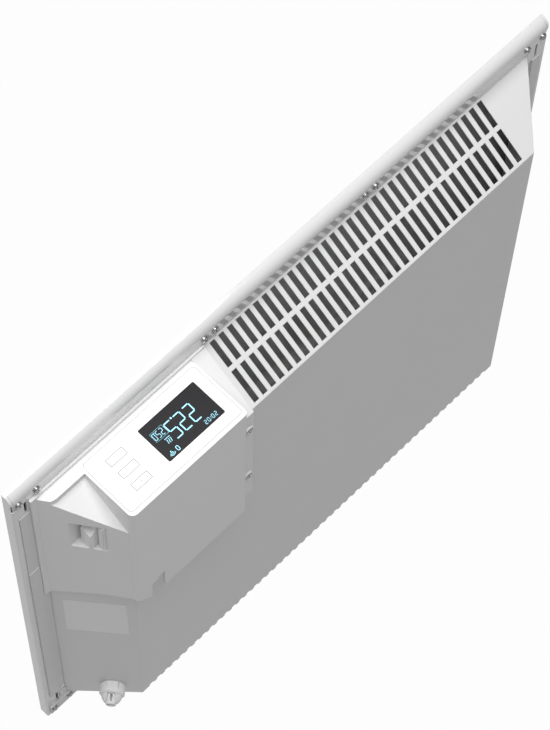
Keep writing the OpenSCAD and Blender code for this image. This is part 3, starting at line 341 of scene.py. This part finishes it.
class Paint(Enum):
    """Every finish on the heater."""

    PANEL = Finish("panel_gloss_white", (0.73, 0.73, 0.73), 0.08, coat=0.6, rough_share=0.02,
                   grain=700.0, grain_depth=1 * MICRON, rounding=0.2 * MM)
    CASING = Finish("casing_satin_white", (0.75, 0.75, 0.75), 0.42, grain=900.0, rounding=0.7 * MM)
    STRIP = Finish("strip_satin_white", (0.72, 0.72, 0.72), 0.42, grain=900.0,
                   grain_depth=3 * MICRON, rounding=0.12 * MM)
    POD = Finish("pod_moulded_white", (0.84, 0.84, 0.84), 0.45, grain=2600.0,
                 grain_depth=6 * MICRON, rounding=0.4 * MM)
    FASCIA = Finish("fascia_smooth_white", (0.93, 0.93, 0.93), 0.3, grain=3200.0,
                    grain_depth=2 * MICRON, cloud_share=0.01, rounding=0.15 * MM)
    BUTTON = Finish("button_smooth_white", (0.93, 0.93, 0.93), 0.34, grain=3000.0,
                    grain_depth=2 * MICRON, cloud_share=0.01, rounding=0.25 * MM)
    LINE = Finish("printed_line_grey", (0.36, 0.37, 0.38), 0.5, grain=4000.0,
                  grain_depth=1 * MICRON, rounding=0.0)
    EDGE = Finish("gap_shadow_grey", (0.34, 0.34, 0.35), 0.6, grain=4000.0,
                  grain_depth=1 * MICRON, rounding=0.0)
    GLASS = Finish("display_dark_gloss", (0.018, 0.018, 0.02), 0.25, specular=0.1, grain=120.0,
                   grain_depth=0.5 * MICRON, cloud=30.0, rounding=0.2 * MM)
    SEGMENT = Finish("display_pale_blue", (0.33, 0.72, 0.86), 0.4, grain=2500.0,
                     grain_depth=0.5 * MICRON, rounding=0.0, glow=0.7)
    ZINC = Finish("screw_bright_zinc", (0.6, 0.6, 0.61), 0.2, metallic=1.0, grain=5200.0,
                  cloud=400.0, cloud_share=0.2, rounding=0.25 * MM)
    # The screw heads carry painted shade in their recesses and at their rims.
    SCREW = ScrewPlatingAndShade("screw_zinc_painted_shade", (0.85, 0.85, 0.86), 0.22, metallic=0.9, grain=5200.0,
                         grain_depth=3 * MICRON, rounding=0.0)
    SWITCH = Finish("switch_satin_white", (0.88, 0.88, 0.88), 0.3, grain=2600.0,
                    grain_depth=3 * MICRON, rounding=0.4 * MM)
    NYLON = Finish("gland_nylon_white", (0.93, 0.93, 0.93), 0.38, grain=2000.0,
                   grain_depth=5 * MICRON, rounding=0.15 * MM)
    LABEL = Finish("label_bare_film", (0.86, 0.86, 0.86), 0.4, grain=2600.0,
                   grain_depth=1 * MICRON, rounding=0.0)
    FIN = DrawnMetal("fin_bright_aluminium", (0.96, 0.96, 0.96), 0.5, metallic=0.15, grain=900.0,
                     grain_depth=10 * MICRON)
    STEEL = DrawnMetal("bracket_galvanised", (0.6, 0.61, 0.62), 0.4, metallic=0.9, cloud=140.0,
                       cloud_share=0.25, grain=700.0)
    CERAMIC = Finish("bush_fired_ceramic", (0.82, 0.78, 0.7), 0.5, grain=1800.0,
                     grain_depth=10 * MICRON)
    IVORY = Finish("terminal_ivory", (0.8, 0.77, 0.68), 0.45)
    BRASS = DrawnMetal("stud_plain_brass", (0.72, 0.53, 0.25), 0.3, metallic=1.0)
    BLACK = Finish("moulded_black", (0.025, 0.025, 0.027), 0.45, cloud_share=0.2)
    BOARD = CircuitBoard("board_green_mask", (0.02, 0.13, 0.05), 0.3, grain_depth=30 * MICRON,
                         rounding=0.0)
    TAPE = Finish("coil_yellow_tape", (0.7, 0.5, 0.08), 0.35)
    SLEEVE = Finish("capacitor_blue_sleeve", (0.03, 0.05, 0.2), 0.3)
    LEAD_BROWN = Finish("lead_brown_silicone", (0.18, 0.08, 0.04), 0.45)
    LEAD_GREY = Finish("lead_grey_silicone", (0.2, 0.2, 0.21), 0.45)


NODE_PAINT: dict[str, Paint] = {
    "front_panel": Paint.PANEL, "back_casing": Paint.CASING, "side_strips": Paint.STRIP,
    "corner_plates": Paint.STRIP, "panel_screws": Paint.ZINC, "control_housing": Paint.POD,
    "housing_screws": Paint.ZINC, "control_fascia": Paint.FASCIA, "display_window": Paint.GLASS,
    "display_module": Paint.BLACK, "control_board": Paint.BOARD, "board_screws": Paint.ZINC,
    "button_switches": Paint.BLACK, "button_minus": Paint.BUTTON, "button_menu": Paint.BUTTON,
    "button_plus": Paint.BUTTON, "radio_module": Paint.STEEL, "control_base": Paint.POD,
    "power_board": Paint.BOARD, "relay": Paint.BLACK, "transformer": Paint.TAPE,
    "capacitor": Paint.SLEEVE, "board_link": Paint.LEAD_GREY, "switch_body": Paint.SWITCH,
    "power_rocker": Paint.SWITCH, "gland_body": Paint.NYLON, "gland_nut": Paint.NYLON,
    "gland_claw": Paint.NYLON, "gland_sleeve": Paint.NYLON, "gland_locknut": Paint.NYLON,
    "heating_element": Paint.FIN, "element_brackets": Paint.STEEL,
    "ceramic_bushes": Paint.CERAMIC, "element_terminals": Paint.STEEL, "heat_shield": Paint.FIN,
    "thermal_cutout": Paint.BLACK, "terminal_block": Paint.IVORY, "earth_stud": Paint.BRASS,
    "room_sensor": Paint.BLACK, "supply_leads": Paint.LEAD_BROWN,
    "element_leads": Paint.LEAD_BROWN, "sensor_lead": Paint.LEAD_GREY,
    "rating_label": Paint.LABEL,
}


@cache
def material_of(paint: Paint) -> bpy.types.Material:
    """Returns a finish's material, built once."""
    return paint.value.material()


# Surfaces

# The least divisor of a ribbon's mitre, so that a sharp bend makes no long spike
MITRE_LIMIT = 0.4
# Points in each round corner of a rounded box
CORNER_POINTS = 6


def grid_faces(rows: int, columns: int, wrap_rows: bool = False,
               wrap_columns: bool = False) -> np.ndarray:
    """Quads of a grid of points, row by row.

    Args:
        rows: Number of rows of points.
        columns: Number of points in a row.
        wrap_rows: Whether the last row joins the first.
        wrap_columns: Whether the last column joins the first.

    Returns:
        An array of shape (quads, 4).
    """
    row = np.arange(rows if wrap_rows else rows - 1)[:, None]
    column = np.arange(columns if wrap_columns else columns - 1)[None, :]
    below, beside = (row + 1) % rows, (column + 1) % columns
    corners = [(row, column), (row, beside), (below, beside), (below, column)]
    shape = (row.size, column.size)
    return np.stack([np.broadcast_to(r * columns + c, shape).ravel() for r, c in corners], axis=1)


def ribbon(path: np.ndarray, width: float, height: float, closed: bool = False) -> Mesh:
    """A flat raised line along a path in its plane.

    Each point of the path moves left and right along the mean of the normals of its two steps, by half
    the width over the cosine of half the bend; the four corners of the section are carried along.

    Args:
        path: Points of shape (n, 2).
        width: Width of the line.
        height: Height of the line.
        closed: Whether the path closes on itself.

    Returns:
        Points of shape (m, 3) with z from 0 to height, and quads.
    """
    step = np.roll(path, -1, axis=0) - path
    if not closed:
        step[-1] = step[-2]
    step /= np.linalg.norm(step, axis=1, keepdims=True)
    before = np.roll(step, 1, axis=0)
    if not closed:
        before[0] = step[0]
    left = np.stack([-step[:, 1], step[:, 0]], axis=1)
    left_before = np.stack([-before[:, 1], before[:, 0]], axis=1)
    mitre = left + left_before
    mitre /= np.maximum(np.sum(mitre * left, axis=1, keepdims=True), MITRE_LIMIT)
    side = mitre * width / 2
    section = [(path - side, 0.0), (path + side, 0.0), (path + side, height), (path - side, height)]
    rings = np.stack([np.column_stack([p, np.full(len(p), z)]) for p, z in section], axis=1)
    faces = grid_faces(len(path), 4, wrap_rows=closed, wrap_columns=True)[:, ::-1]
    if not closed:
        last = (len(path) - 1) * 4
        faces = np.vstack([faces, [[0, 1, 2, 3]], [[last + 3, last + 2, last + 1, last]]])
    return rings.reshape(-1, 3), faces


def raised_line(path: np.ndarray, width: float, rise: float, top: float,
                closed: bool = False) -> Mesh:
    """A ribbon on a level surface, turned from millimetres into metres.

    Args:
        path: Points of shape (n, 2), in millimetres in the part's frame.
        width: Width of the line.
        rise: Height of the line over the surface.
        top: Height of the surface.
        closed: Whether the path closes on itself.

    Returns:
        Points in metres, and quads.
    """
    points, faces = ribbon(path, width, rise, closed)
    return (points + [0.0, 0.0, top]) * MM, faces


def rounded_box(width: float, height: float, radius: float) -> np.ndarray:
    """Outline of a rectangle with round corners, centred on the origin.

    Each corner is a quarter circle of the radius about the corner's own centre.

    Args:
        width: Size along x.
        height: Size along y.
        radius: Radius of the corners.

    Returns:
        The points of one closed loop, of shape (n, 2).
    """
    sweep = np.linspace(0.0, math.pi / 2, CORNER_POINTS)
    loops = []
    for quarter, (sx, sy) in enumerate([(1, 1), (-1, 1), (-1, -1), (1, -1)]):
        centre = np.array([sx * (width / 2 - radius), sy * (height / 2 - radius)])
        angle = sweep + quarter * math.pi / 2
        loops.append(centre + radius * np.stack([np.cos(angle), np.sin(angle)], axis=1))
    return np.vstack(loops)


def join(parts: list[Mesh]) -> Mesh:
    """Joins several meshes of quads into one.

    Args:
        parts: The meshes.

    Returns:
        Their points and their quads, in the order given.
    """
    starts = np.cumsum([0] + [len(points) for points, _ in parts[:-1]])
    faces = [some_faces + start for (_, some_faces), start in zip(parts, starts)]
    return np.vstack([points for points, _ in parts]), np.vstack(faces)


def plate_of(node: str) -> tuple[np.ndarray, np.ndarray, float]:
    """Where a CAD node lies when it is seen from above, in millimetres.

    Args:
        node: The node's name.

    Returns:
        The middle and the size of its box in X and Y, and the height of its top.
    """
    low, high = (np.array(corner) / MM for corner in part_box(node))
    return (low + high)[:2] / 2, (high - low)[:2], float(high[2])


def make_piece(name: str, mesh: Mesh, paint: Paint, body: str = BODY,
               smooth: bool = False, shade_tone: np.ndarray | None = None) -> bpy.types.Object:
    """Puts a mesh in the scene as a piece that rides on a body.

    Args:
        name: The piece's name.
        mesh: Points in metres in the part's frame, and quads.
        paint: Its finish.
        body: The body that it moves with.
        smooth: Whether its faces shade smoothly.
        shade_tone: One number for each point, the tone of a painted shade, kept as the u of the
            piece's own UV.

    Returns:
        The piece.
    """
    points, faces = mesh
    data = bpy.data.meshes.new(name)
    data.from_pydata(points.tolist(), [], faces.tolist())
    data.polygons.foreach_set("use_smooth", np.full(len(data.polygons), smooth))
    data.materials.append(material_of(paint))
    if shade_tone is not None:
        layer = data.uv_layers.new(name=UV_NAME)
        corners = np.zeros((len(data.loops), 2))
        corners[:, 0] = shade_tone[faces.ravel()]
        layer.data.foreach_set("uv", corners.ravel())
    data.update()
    piece = bpy.data.objects.new(name, data)
    bpy.context.scene.collection.objects.link(piece)
    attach(piece, body)
    return piece


# Signs that the display lights, in millimetres from the drawing's upper left corner with y downwards

@dataclass(frozen=True)
class Stroke:
    """One line of a sign."""

    path: np.ndarray
    width: float
    closed: bool = False


class Sign(Protocol):
    """Whatever is drawn with strokes."""

    def strokes(self) -> list[Stroke]:
        """Its lines, in the order of drawing."""


@dataclass(frozen=True)
class Figures:
    """A row of seven-segment figures, from the upper left corner of the first one.

    The width and the height run between the middles of the strokes, and each segment is cut short at
    both ends by a share of its stroke. LIT names the segments that each figure lights, and ENDS the
    two joints of each segment, in widths across and half heights down.
    """

    text: str
    x: float
    y: float
    width: float
    height: float
    pitch: float
    stroke: float
    cut: float = 0.35

    LIT = {"0": "abcdef", "2": "abged", "5": "afgcd"}
    ENDS = {"a": ((0, 0), (1, 0)), "b": ((1, 0), (1, 1)), "c": ((1, 1), (1, 2)),
            "d": ((0, 2), (1, 2)), "e": ((0, 1), (0, 2)), "f": ((0, 0), (0, 1)),
            "g": ((0, 1), (1, 1))}

    def strokes(self) -> list[Stroke]:
        """The lit segments, each a straight line between two of a figure's six joints.

        Returns:
            One stroke for each lit segment, figure by figure.
        """
        lines = []
        for index, figure in enumerate(self.text):
            corner = [self.x + index * self.pitch, self.y]
            for name in self.LIT[figure]:
                start, end = np.array(self.ENDS[name]) * [self.width, self.height / 2] + corner
                gap = (end - start) / np.linalg.norm(end - start) * self.stroke * self.cut
                lines.append(Stroke(np.array([start + gap, end - gap]), self.stroke))
        return lines


@dataclass(frozen=True)
class Dot:
    """A disc, drawn as a ring at half its radius with a stroke as wide as the radius."""

    x: float
    y: float
    radius: float

    POINTS = 12

    def strokes(self) -> list[Stroke]:
        """The ring: a circle about (x, y), whose stroke reaches from the middle to the rim.

        Returns:
            One closed stroke.
        """
        angle = np.linspace(0.0, 2 * math.pi, self.POINTS, endpoint=False)
        circle = np.stack([np.cos(angle), np.sin(angle)], axis=1)
        return [Stroke(circle * self.radius / 2 + [self.x, self.y], self.radius, closed=True)]


@dataclass(frozen=True)
class RoundFrame:
    """A rectangle with round corners about (x, y)."""

    x: float
    y: float
    width: float
    height: float
    corner: float
    stroke: float

    def strokes(self) -> list[Stroke]:
        """Its outline."""
        path = rounded_box(self.width, self.height, self.corner) + [self.x, self.y]
        return [Stroke(path, self.stroke, closed=True)]


@dataclass(frozen=True)
class WarmAir:
    """Three waves over a bar. The upper end of the first wave is at (x, y)."""

    x: float
    y: float
    height: float
    swing: float
    pitch: float
    bar_left: float
    bar_right: float
    bar_y: float
    stroke: float

    WAVES = 3
    POINTS = 12

    def strokes(self) -> list[Stroke]:
        """The waves and the bar.

        A wave's point lies a share of the height down, and the swing times the sine of a whole turn
        times that share across.

        Returns:
            One stroke for each wave and one for the bar.
        """
        share = np.linspace(0.0, 1.0, self.POINTS)
        across = self.x + self.swing * np.sin(share * 2 * math.pi)
        wave = np.stack([across, self.y + share * self.height], axis=1)
        bar = np.array([[self.bar_left, self.bar_y], [self.bar_right, self.bar_y]])
        waves = [wave + [index * self.pitch, 0.0] for index in range(self.WAVES)]
        return [Stroke(path, self.stroke) for path in (*waves, bar)]


@dataclass(frozen=True)
class Fan:
    """Arcs of several radii that stand over (x, y)."""

    x: float
    y: float
    radii: tuple[float, ...]
    stroke: float
    start: float = 45.0
    end: float = 135.0

    POINTS = 14

    def strokes(self) -> list[Stroke]:
        """The arcs, each a part of a circle between two angles in degrees.

        Returns:
            One stroke for each radius.
        """
        angle = np.radians(np.linspace(self.start, self.end, self.POINTS))
        arc = np.stack([np.cos(angle), -np.sin(angle)], axis=1)
        return [Stroke(arc * radius + [self.x, self.y], self.stroke) for radius in self.radii]


# Sub-assemblies

@dataclass
class Display:
    """The lit figures and signs on the display window.

    The drawing has its own width and height and is centred on the window.
    """

    width: float = 46.6
    height: float = 28.4
    rise: float = 0.04
    air: Figures = Figures("225", 12.5, 8.0, width=5.0, height=12.0, pitch=7.6, stroke=0.78)
    air_point: Dot = Dot(26.3, 20.2, 0.65)
    target: Figures = Figures("250", 35.0, 15.6, width=1.7, height=4.6, pitch=2.9, stroke=0.33)
    target_point: Dot = Dot(40.4, 20.4, 0.28)
    target_frame: RoundFrame = RoundFrame(38.2, 17.9, width=9.6, height=6.7, corner=0.5, stroke=0.1)
    hours: Figures = Figures("20", 4.4, 2.4, width=1.3, height=2.6, pitch=2.4, stroke=0.27)
    minutes: Figures = Figures("02", 10.2, 2.4, width=1.3, height=2.6, pitch=2.4, stroke=0.27)
    colon: tuple[Dot, Dot] = (Dot(9.05, 3.1, 0.2), Dot(9.05, 4.3, 0.2))
    heat: WarmAir = WarmAir(35.3, 9.1, height=2.9, swing=0.3, pitch=1.35, bar_left=34.6,
                            bar_right=38.7, bar_y=12.8, stroke=0.36)
    ring: RoundFrame = RoundFrame(36.6, 3.6, width=1.7, height=3.1, corner=0.8, stroke=0.42)
    link: Fan = Fan(41.2, 5.1, radii=(1.2, 2.1, 3.0), stroke=0.36)
    link_point: Dot = Dot(41.2, 4.9, 0.4)

    def lit(self, name: str, signs: list[Sign]) -> bpy.types.Object:
        """Makes one lit piece of several signs.

        Args:
            name: The piece's name.
            signs: Its signs, in the drawing's own millimetres.

        Returns:
            The piece.
        """
        middle, _, top = plate_of("display_window")
        corner = middle + [-self.width / 2, self.height / 2]
        lines = []
        for stroke in [stroke for sign in signs for stroke in sign.strokes()]:
            path = (stroke.path * [1.0, -1.0] + corner)[::-1]
            lines.append(raised_line(path, stroke.width, self.rise, top, stroke.closed))
        return make_piece(name, join(lines), Paint.SEGMENT)

    def build(self) -> list[bpy.types.Object]:
        """Draws the air's temperature, the target in its frame, a clock and three small signs.

        Returns:
            The pieces.
        """
        small = [self.target, self.target_point, self.hours, self.minutes, *self.colon, self.heat,
                 self.ring, self.link, self.link_point]
        return [self.lit("display_big_figures", [self.air, self.air_point]),
                self.lit("display_small_signs", small),
                self.lit("display_target_frame", [self.target_frame])]


@dataclass
class Buttons:
    """Signs of the three push buttons, and painted shadow lines along their edges and the edge of the
    fascia round them.

    A button's collar stands out on each side below the fascia, so its cap is smaller than its box.
    """

    collar: float = 0.9
    arm: float = 0.9
    bar_pitch: float = 0.7
    stroke: float = 0.26
    border: float = 0.3
    corner: float = 0.4
    sign_rise: float = 0.02
    edge_rise: float = 0.01
    fascia_corner: float = 2.5
    fascia_border: float = 0.2

    def edge(self, node: str, inset: float, corner: float, border: float,
             body: str = BODY) -> bpy.types.Object:
        """Draws the thin shadow line just inside the outline of a level plate.

        Args:
            node: The CAD node that is the plate.
            inset: How far the plate's top stands inside the node's box.
            corner: Radius of the line's corners.
            border: Width of the line.
            body: The body that the line moves with.

        Returns:
            The piece.
        """
        middle, size, top = plate_of(node)
        width, depth = size - 2 * inset - border
        path = rounded_box(width, depth, corner) + middle
        line = raised_line(path, border, self.edge_rise, top, closed=True)
        name = node.removeprefix("control_") + "_edge"
        return make_piece(name, line, Paint.EDGE, body=body)

    def build(self) -> list[bpy.types.Object]:
        """Draws a minus, a menu sign of three bars and a plus, each on its own button.

        Returns:
            The pieces.
        """
        bar = np.array([[-self.arm, 0.0], [self.arm, 0.0]])
        post = bar[:, ::-1]
        menu = [bar + [0.0, shift * self.bar_pitch] for shift in (-1, 0, 1)]
        signs = {"button_minus": [bar], "button_menu": menu, "button_plus": [bar, post]}
        pieces = []
        for body, paths in signs.items():
            middle, _, top = plate_of(body)
            mesh = join([raised_line(path + middle, self.stroke, self.sign_rise, top)
                         for path in paths])
            pieces.append(make_piece(body + "_sign", mesh, Paint.LINE, body=body))
            pieces.append(self.edge(body, self.collar, self.corner, self.border, body))
        pieces.append(self.edge("control_fascia", 0.0, self.fascia_corner, self.fascia_border))
        return pieces


@dataclass(frozen=True)
class CrossHead:
    """A pan head with a cross recess, about the Z axis with its seat at z = 0.

    The pole and the crowding set where the rings lie. The sides and the ends of the cross slope over
    a run, and its floor rises towards the ends by a share of the depth. The tone of the painted shade
    falls from the start of the rim outwards, down to the rim's own.
    """

    radius: float = 2.7
    height: float = 1.8
    slot: float = 0.6
    reach: float = 1.9
    depth: float = 1.1
    side_run: float = 0.15
    end_run: float = 0.2
    floor_rise: float = 0.5
    rings: int = 22
    spokes: int = 64
    pole: float = 0.02
    crowding: float = 0.8
    rim_shade_start: float = 0.75
    rim_shade_fall: float = 3.0
    rim_shade_tone: float = 0.15

    def mesh(self) -> tuple[np.ndarray, np.ndarray, np.ndarray]:
        """The head's surface.

        A point of the grid has a share of the radius and an angle. Its height is the head's height
        times the root of one less the fourth power of the share; inside the cross it drops by a depth
        that fades towards the ends of the arms. The tone of the painted shade is 0 inside the cross, 1
        on the top and falls again towards the rim.

        Returns:
            Points, quads and the tones of the painted shade.
        """
        share = np.linspace(self.pole, 1.0, self.rings)[:, None] ** self.crowding
        angle = np.linspace(0.0, 2 * math.pi, self.spokes, endpoint=False)[None, :]
        x, y = share * np.cos(angle) * self.radius, share * np.sin(angle) * self.radius
        across, along = np.minimum(abs(x), abs(y)), np.maximum(abs(x), abs(y))
        between_sides = np.clip((self.slot - across) / self.side_run + 0.5, 0.0, 1.0)
        before_ends = np.clip((self.reach - along) / self.end_run, 0.0, 1.0)
        inside = between_sides * before_ends
        drop = inside * self.depth * (1.0 - self.floor_rise * along / self.reach)
        z = np.maximum(self.height * np.sqrt(1.0 - share ** 4) - drop, 0.0)
        # painted shade: the tone darkens the head towards its rim
        rim_shade = np.clip(1.0 - (share - self.rim_shade_start) * self.rim_shade_fall, self.rim_shade_tone, 1.0)
        points = np.stack([x, y, z], axis=2).reshape(-1, 3)
        faces = grid_faces(self.rings, self.spokes, wrap_columns=True)
        return points, faces, ((1.0 - inside) * rim_shade).ravel()


@dataclass
class Screws:
    """Cross heads over the plain heads of the CAD screws, all facing +Y.

    The panel's screws stand in pairs: one at each corner, and one to each side of the middle of the
    top lip. The crosses are turned by steps, in degrees.
    """

    head: CrossHead = CrossHead()
    lift: float = 0.02
    corner_x: float = 224.6
    pair: float = 14.2
    middle_x: tuple[float, float] = (73.5, 64.5)
    lip_y: float = -41.35
    foot_y: float = -39.7
    top_z: float = 188.0
    low_z: float = -187.8
    first_turn: float = 20.0
    turn_step: float = 37.0
    housing_x: float = 79.3
    housing_y: float = 2.1
    housing_z_and_turn: tuple[tuple[float, float], ...] = ((60.2, 10.0), (131.6, 55.0))

    def row(self, name: str, places: list[tuple[float, float, float, float]]) -> bpy.types.Object:
        """Sets one head at each place.

        Each head is turned about its axis, and the axis is laid from Z to Y.

        Args:
            name: The piece's name.
            places: X, Y and Z of each seat, and the turn of its cross in degrees.

        Returns:
            The piece.
        """
        points, faces, shade_tone = self.head.mesh()
        parts = []
        for x, y, z, turn in places:
            cos, sin = math.cos(math.radians(turn)), math.sin(math.radians(turn))
            across = points[:, 0] * cos - points[:, 1] * sin
            up = points[:, 0] * sin + points[:, 1] * cos
            placed = np.column_stack([across + x, points[:, 2] + y + self.lift, up + z]) * MM
            parts.append((placed, faces[:, ::-1]))
        return make_piece(name, join(parts), Paint.SCREW, smooth=True,
                          shade_tone=np.tile(shade_tone, len(places)))

    def build(self) -> list[bpy.types.Object]:
        """Sets the heads along the top lip, at the lower corners and on the pod's flange.

        Returns:
            The pieces.
        """
        corner = (self.corner_x, self.corner_x - self.pair)
        upper = [(side * x, self.lip_y, self.top_z) for side in (-1, 1)
                 for x in (*corner, *self.middle_x)]
        lower = [(side * x, self.foot_y, self.low_z) for side in (-1, 1) for x in corner]
        turned = [(*place, self.first_turn + self.turn_step * index)
                  for index, place in enumerate(upper + lower)]
        housing = [(self.housing_x, self.housing_y, z, turn) for z, turn in self.housing_z_and_turn]
        return [self.row("panel_screw_heads", turned), self.row("housing_screw_heads", housing)]


@dataclass
class Nodes:
    """The CAD nodes that stay as they are and get a finish."""

    paints: dict[str, Paint] = field(default_factory=NODE_PAINT.copy)

    def build(self) -> list[bpy.types.Object]:
        """Gives every node its material.

        Returns:
            The nodes' objects.
        """
        nodes = []
        for name, paint in self.paints.items():
            node = bpy.data.objects[name]
            if not node.material_slots:
                node.data.materials.append(material_of(paint))
            for place in node.material_slots:
                place.material = material_of(paint)
            nodes.append(node)
        return nodes


@dataclass
class Studio:
    """Floor, sky, lamp and camera, in metres.

    The camera's place, axes and focal length were fitted to the heater's corners in the photograph.
    """

    floor_z: float = -0.55
    floor_half: float = 6.0
    floor_colour: tuple[float, float, float, float] = (0.8, 0.8, 0.8, 1.0)
    floor_white: float = 0.96
    sky: float = 0.24
    key_place: Place = (0.17, 0.0, 1.9)
    key_size: float = 1.4
    key_power: float = 37.0
    camera_place: Place = (0.57737, 0.482645, 1.734275)
    camera_right: Place = (-0.70476607, 0.70924598, 0.01658087)
    camera_down: Place = (0.63974114, 0.64545538, -0.41727523)
    camera_ahead: Place = (-0.30665299, -0.28347396, -0.90862889)
    focal_pixels: float = 2868.592
    image_pixels: float = 730.0
    sensor: float = 36.0
    nearest: float = 0.1
    farthest: float = 30.0

    def floor(self) -> None:
        """Lays a pale floor that looks white to the camera but keeps a faint shadow."""
        data = bpy.data.meshes.new("floor")
        corners = [(sx * self.floor_half, sy * self.floor_half, self.floor_z)
                   for sx, sy in ((-1, -1), (1, -1), (1, 1), (-1, 1))]
        data.from_pydata(corners, [], [(0, 1, 2, 3)])
        material = bpy.data.materials.new("floor_white")
        tree = Tree(material)
        ray = tree.add("ShaderNodeLightPath", out="Is Camera Ray")
        matte = tree.add("ShaderNodeBsdfDiffuse", {}, {"Color": self.floor_colour})
        white = tree.add("ShaderNodeEmission", {}, {"Color": WHITE, "Strength": 1.0})
        mixed = tree.add("ShaderNodeMixShader", {}, {0: ray * self.floor_white, 1: matte, 2: white})
        tree.add("ShaderNodeOutputMaterial", {}, {"Surface": mixed})
        data.materials.append(material)
        floor = bpy.data.objects.new("floor", data)
        bpy.context.scene.collection.objects.link(floor)

    def world(self) -> None:
        """Sets a soft grey sky that the camera sees as white."""
        world = bpy.data.worlds.new("studio_sky")
        tree = Tree(world)
        ray = tree.add("ShaderNodeLightPath", out="Is Camera Ray")
        light = tree.add("ShaderNodeBackground", {}, {"Color": WHITE, "Strength": self.sky})
        seen = tree.add("ShaderNodeBackground", {}, {"Color": WHITE, "Strength": 1.0})
        mixed = tree.add("ShaderNodeMixShader", {}, {0: ray, 1: light, 2: seen})
        tree.add("ShaderNodeOutputWorld", {}, {"Surface": mixed})
        bpy.context.scene.world = world

    def lamp(self) -> None:
        """Hangs a square soft light that faces the heater."""
        data = bpy.data.lights.new("softbox_top", "AREA")
        data.size = self.key_size
        data.energy = self.key_power
        lamp = bpy.data.objects.new("softbox_top", data)
        bpy.context.scene.collection.objects.link(lamp)
        lamp.location = self.key_place
        lamp.rotation_euler = (-Vector(self.key_place)).to_track_quat("-Z", "Y").to_euler()

    def camera(self) -> None:
        """Places the camera at the photograph's viewing angle, far off with a long lens."""
        data = bpy.data.cameras.new("camera")
        data.sensor_width = self.sensor
        data.sensor_height = self.sensor
        data.lens = self.focal_pixels / self.image_pixels * self.sensor
        data.clip_start = self.nearest
        data.clip_end = self.farthest
        camera = bpy.data.objects.new("camera", data)
        bpy.context.scene.collection.objects.link(camera)
        right, down, ahead = map(Vector, (self.camera_right, self.camera_down, self.camera_ahead))
        turn = Matrix((right, -down, -ahead)).transposed().to_4x4()
        camera.matrix_world = Matrix.Translation(self.camera_place) @ turn
        bpy.context.scene.camera = camera

    def build(self) -> None:
        """Sets up the whole studio."""
        self.floor()
        self.world()
        self.lamp()
        self.camera()
        bpy.context.scene.view_settings.view_transform = "Standard"


def main() -> None:
    """Builds the studio, dresses the heater and reports each piece."""
    logging.basicConfig(level=logging.INFO, format="%(name)s: %(message)s")
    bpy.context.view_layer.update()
    Studio().build()
    for assembly in (Nodes(), Display(), Buttons(), Screws()):
        for piece in assembly.build():
            finish = piece.material_slots[0].material.name
            LOG.info("%s: %s, %d faces", piece.name, finish, len(piece.data.polygons))


if __name__ == "__main__":
    main()
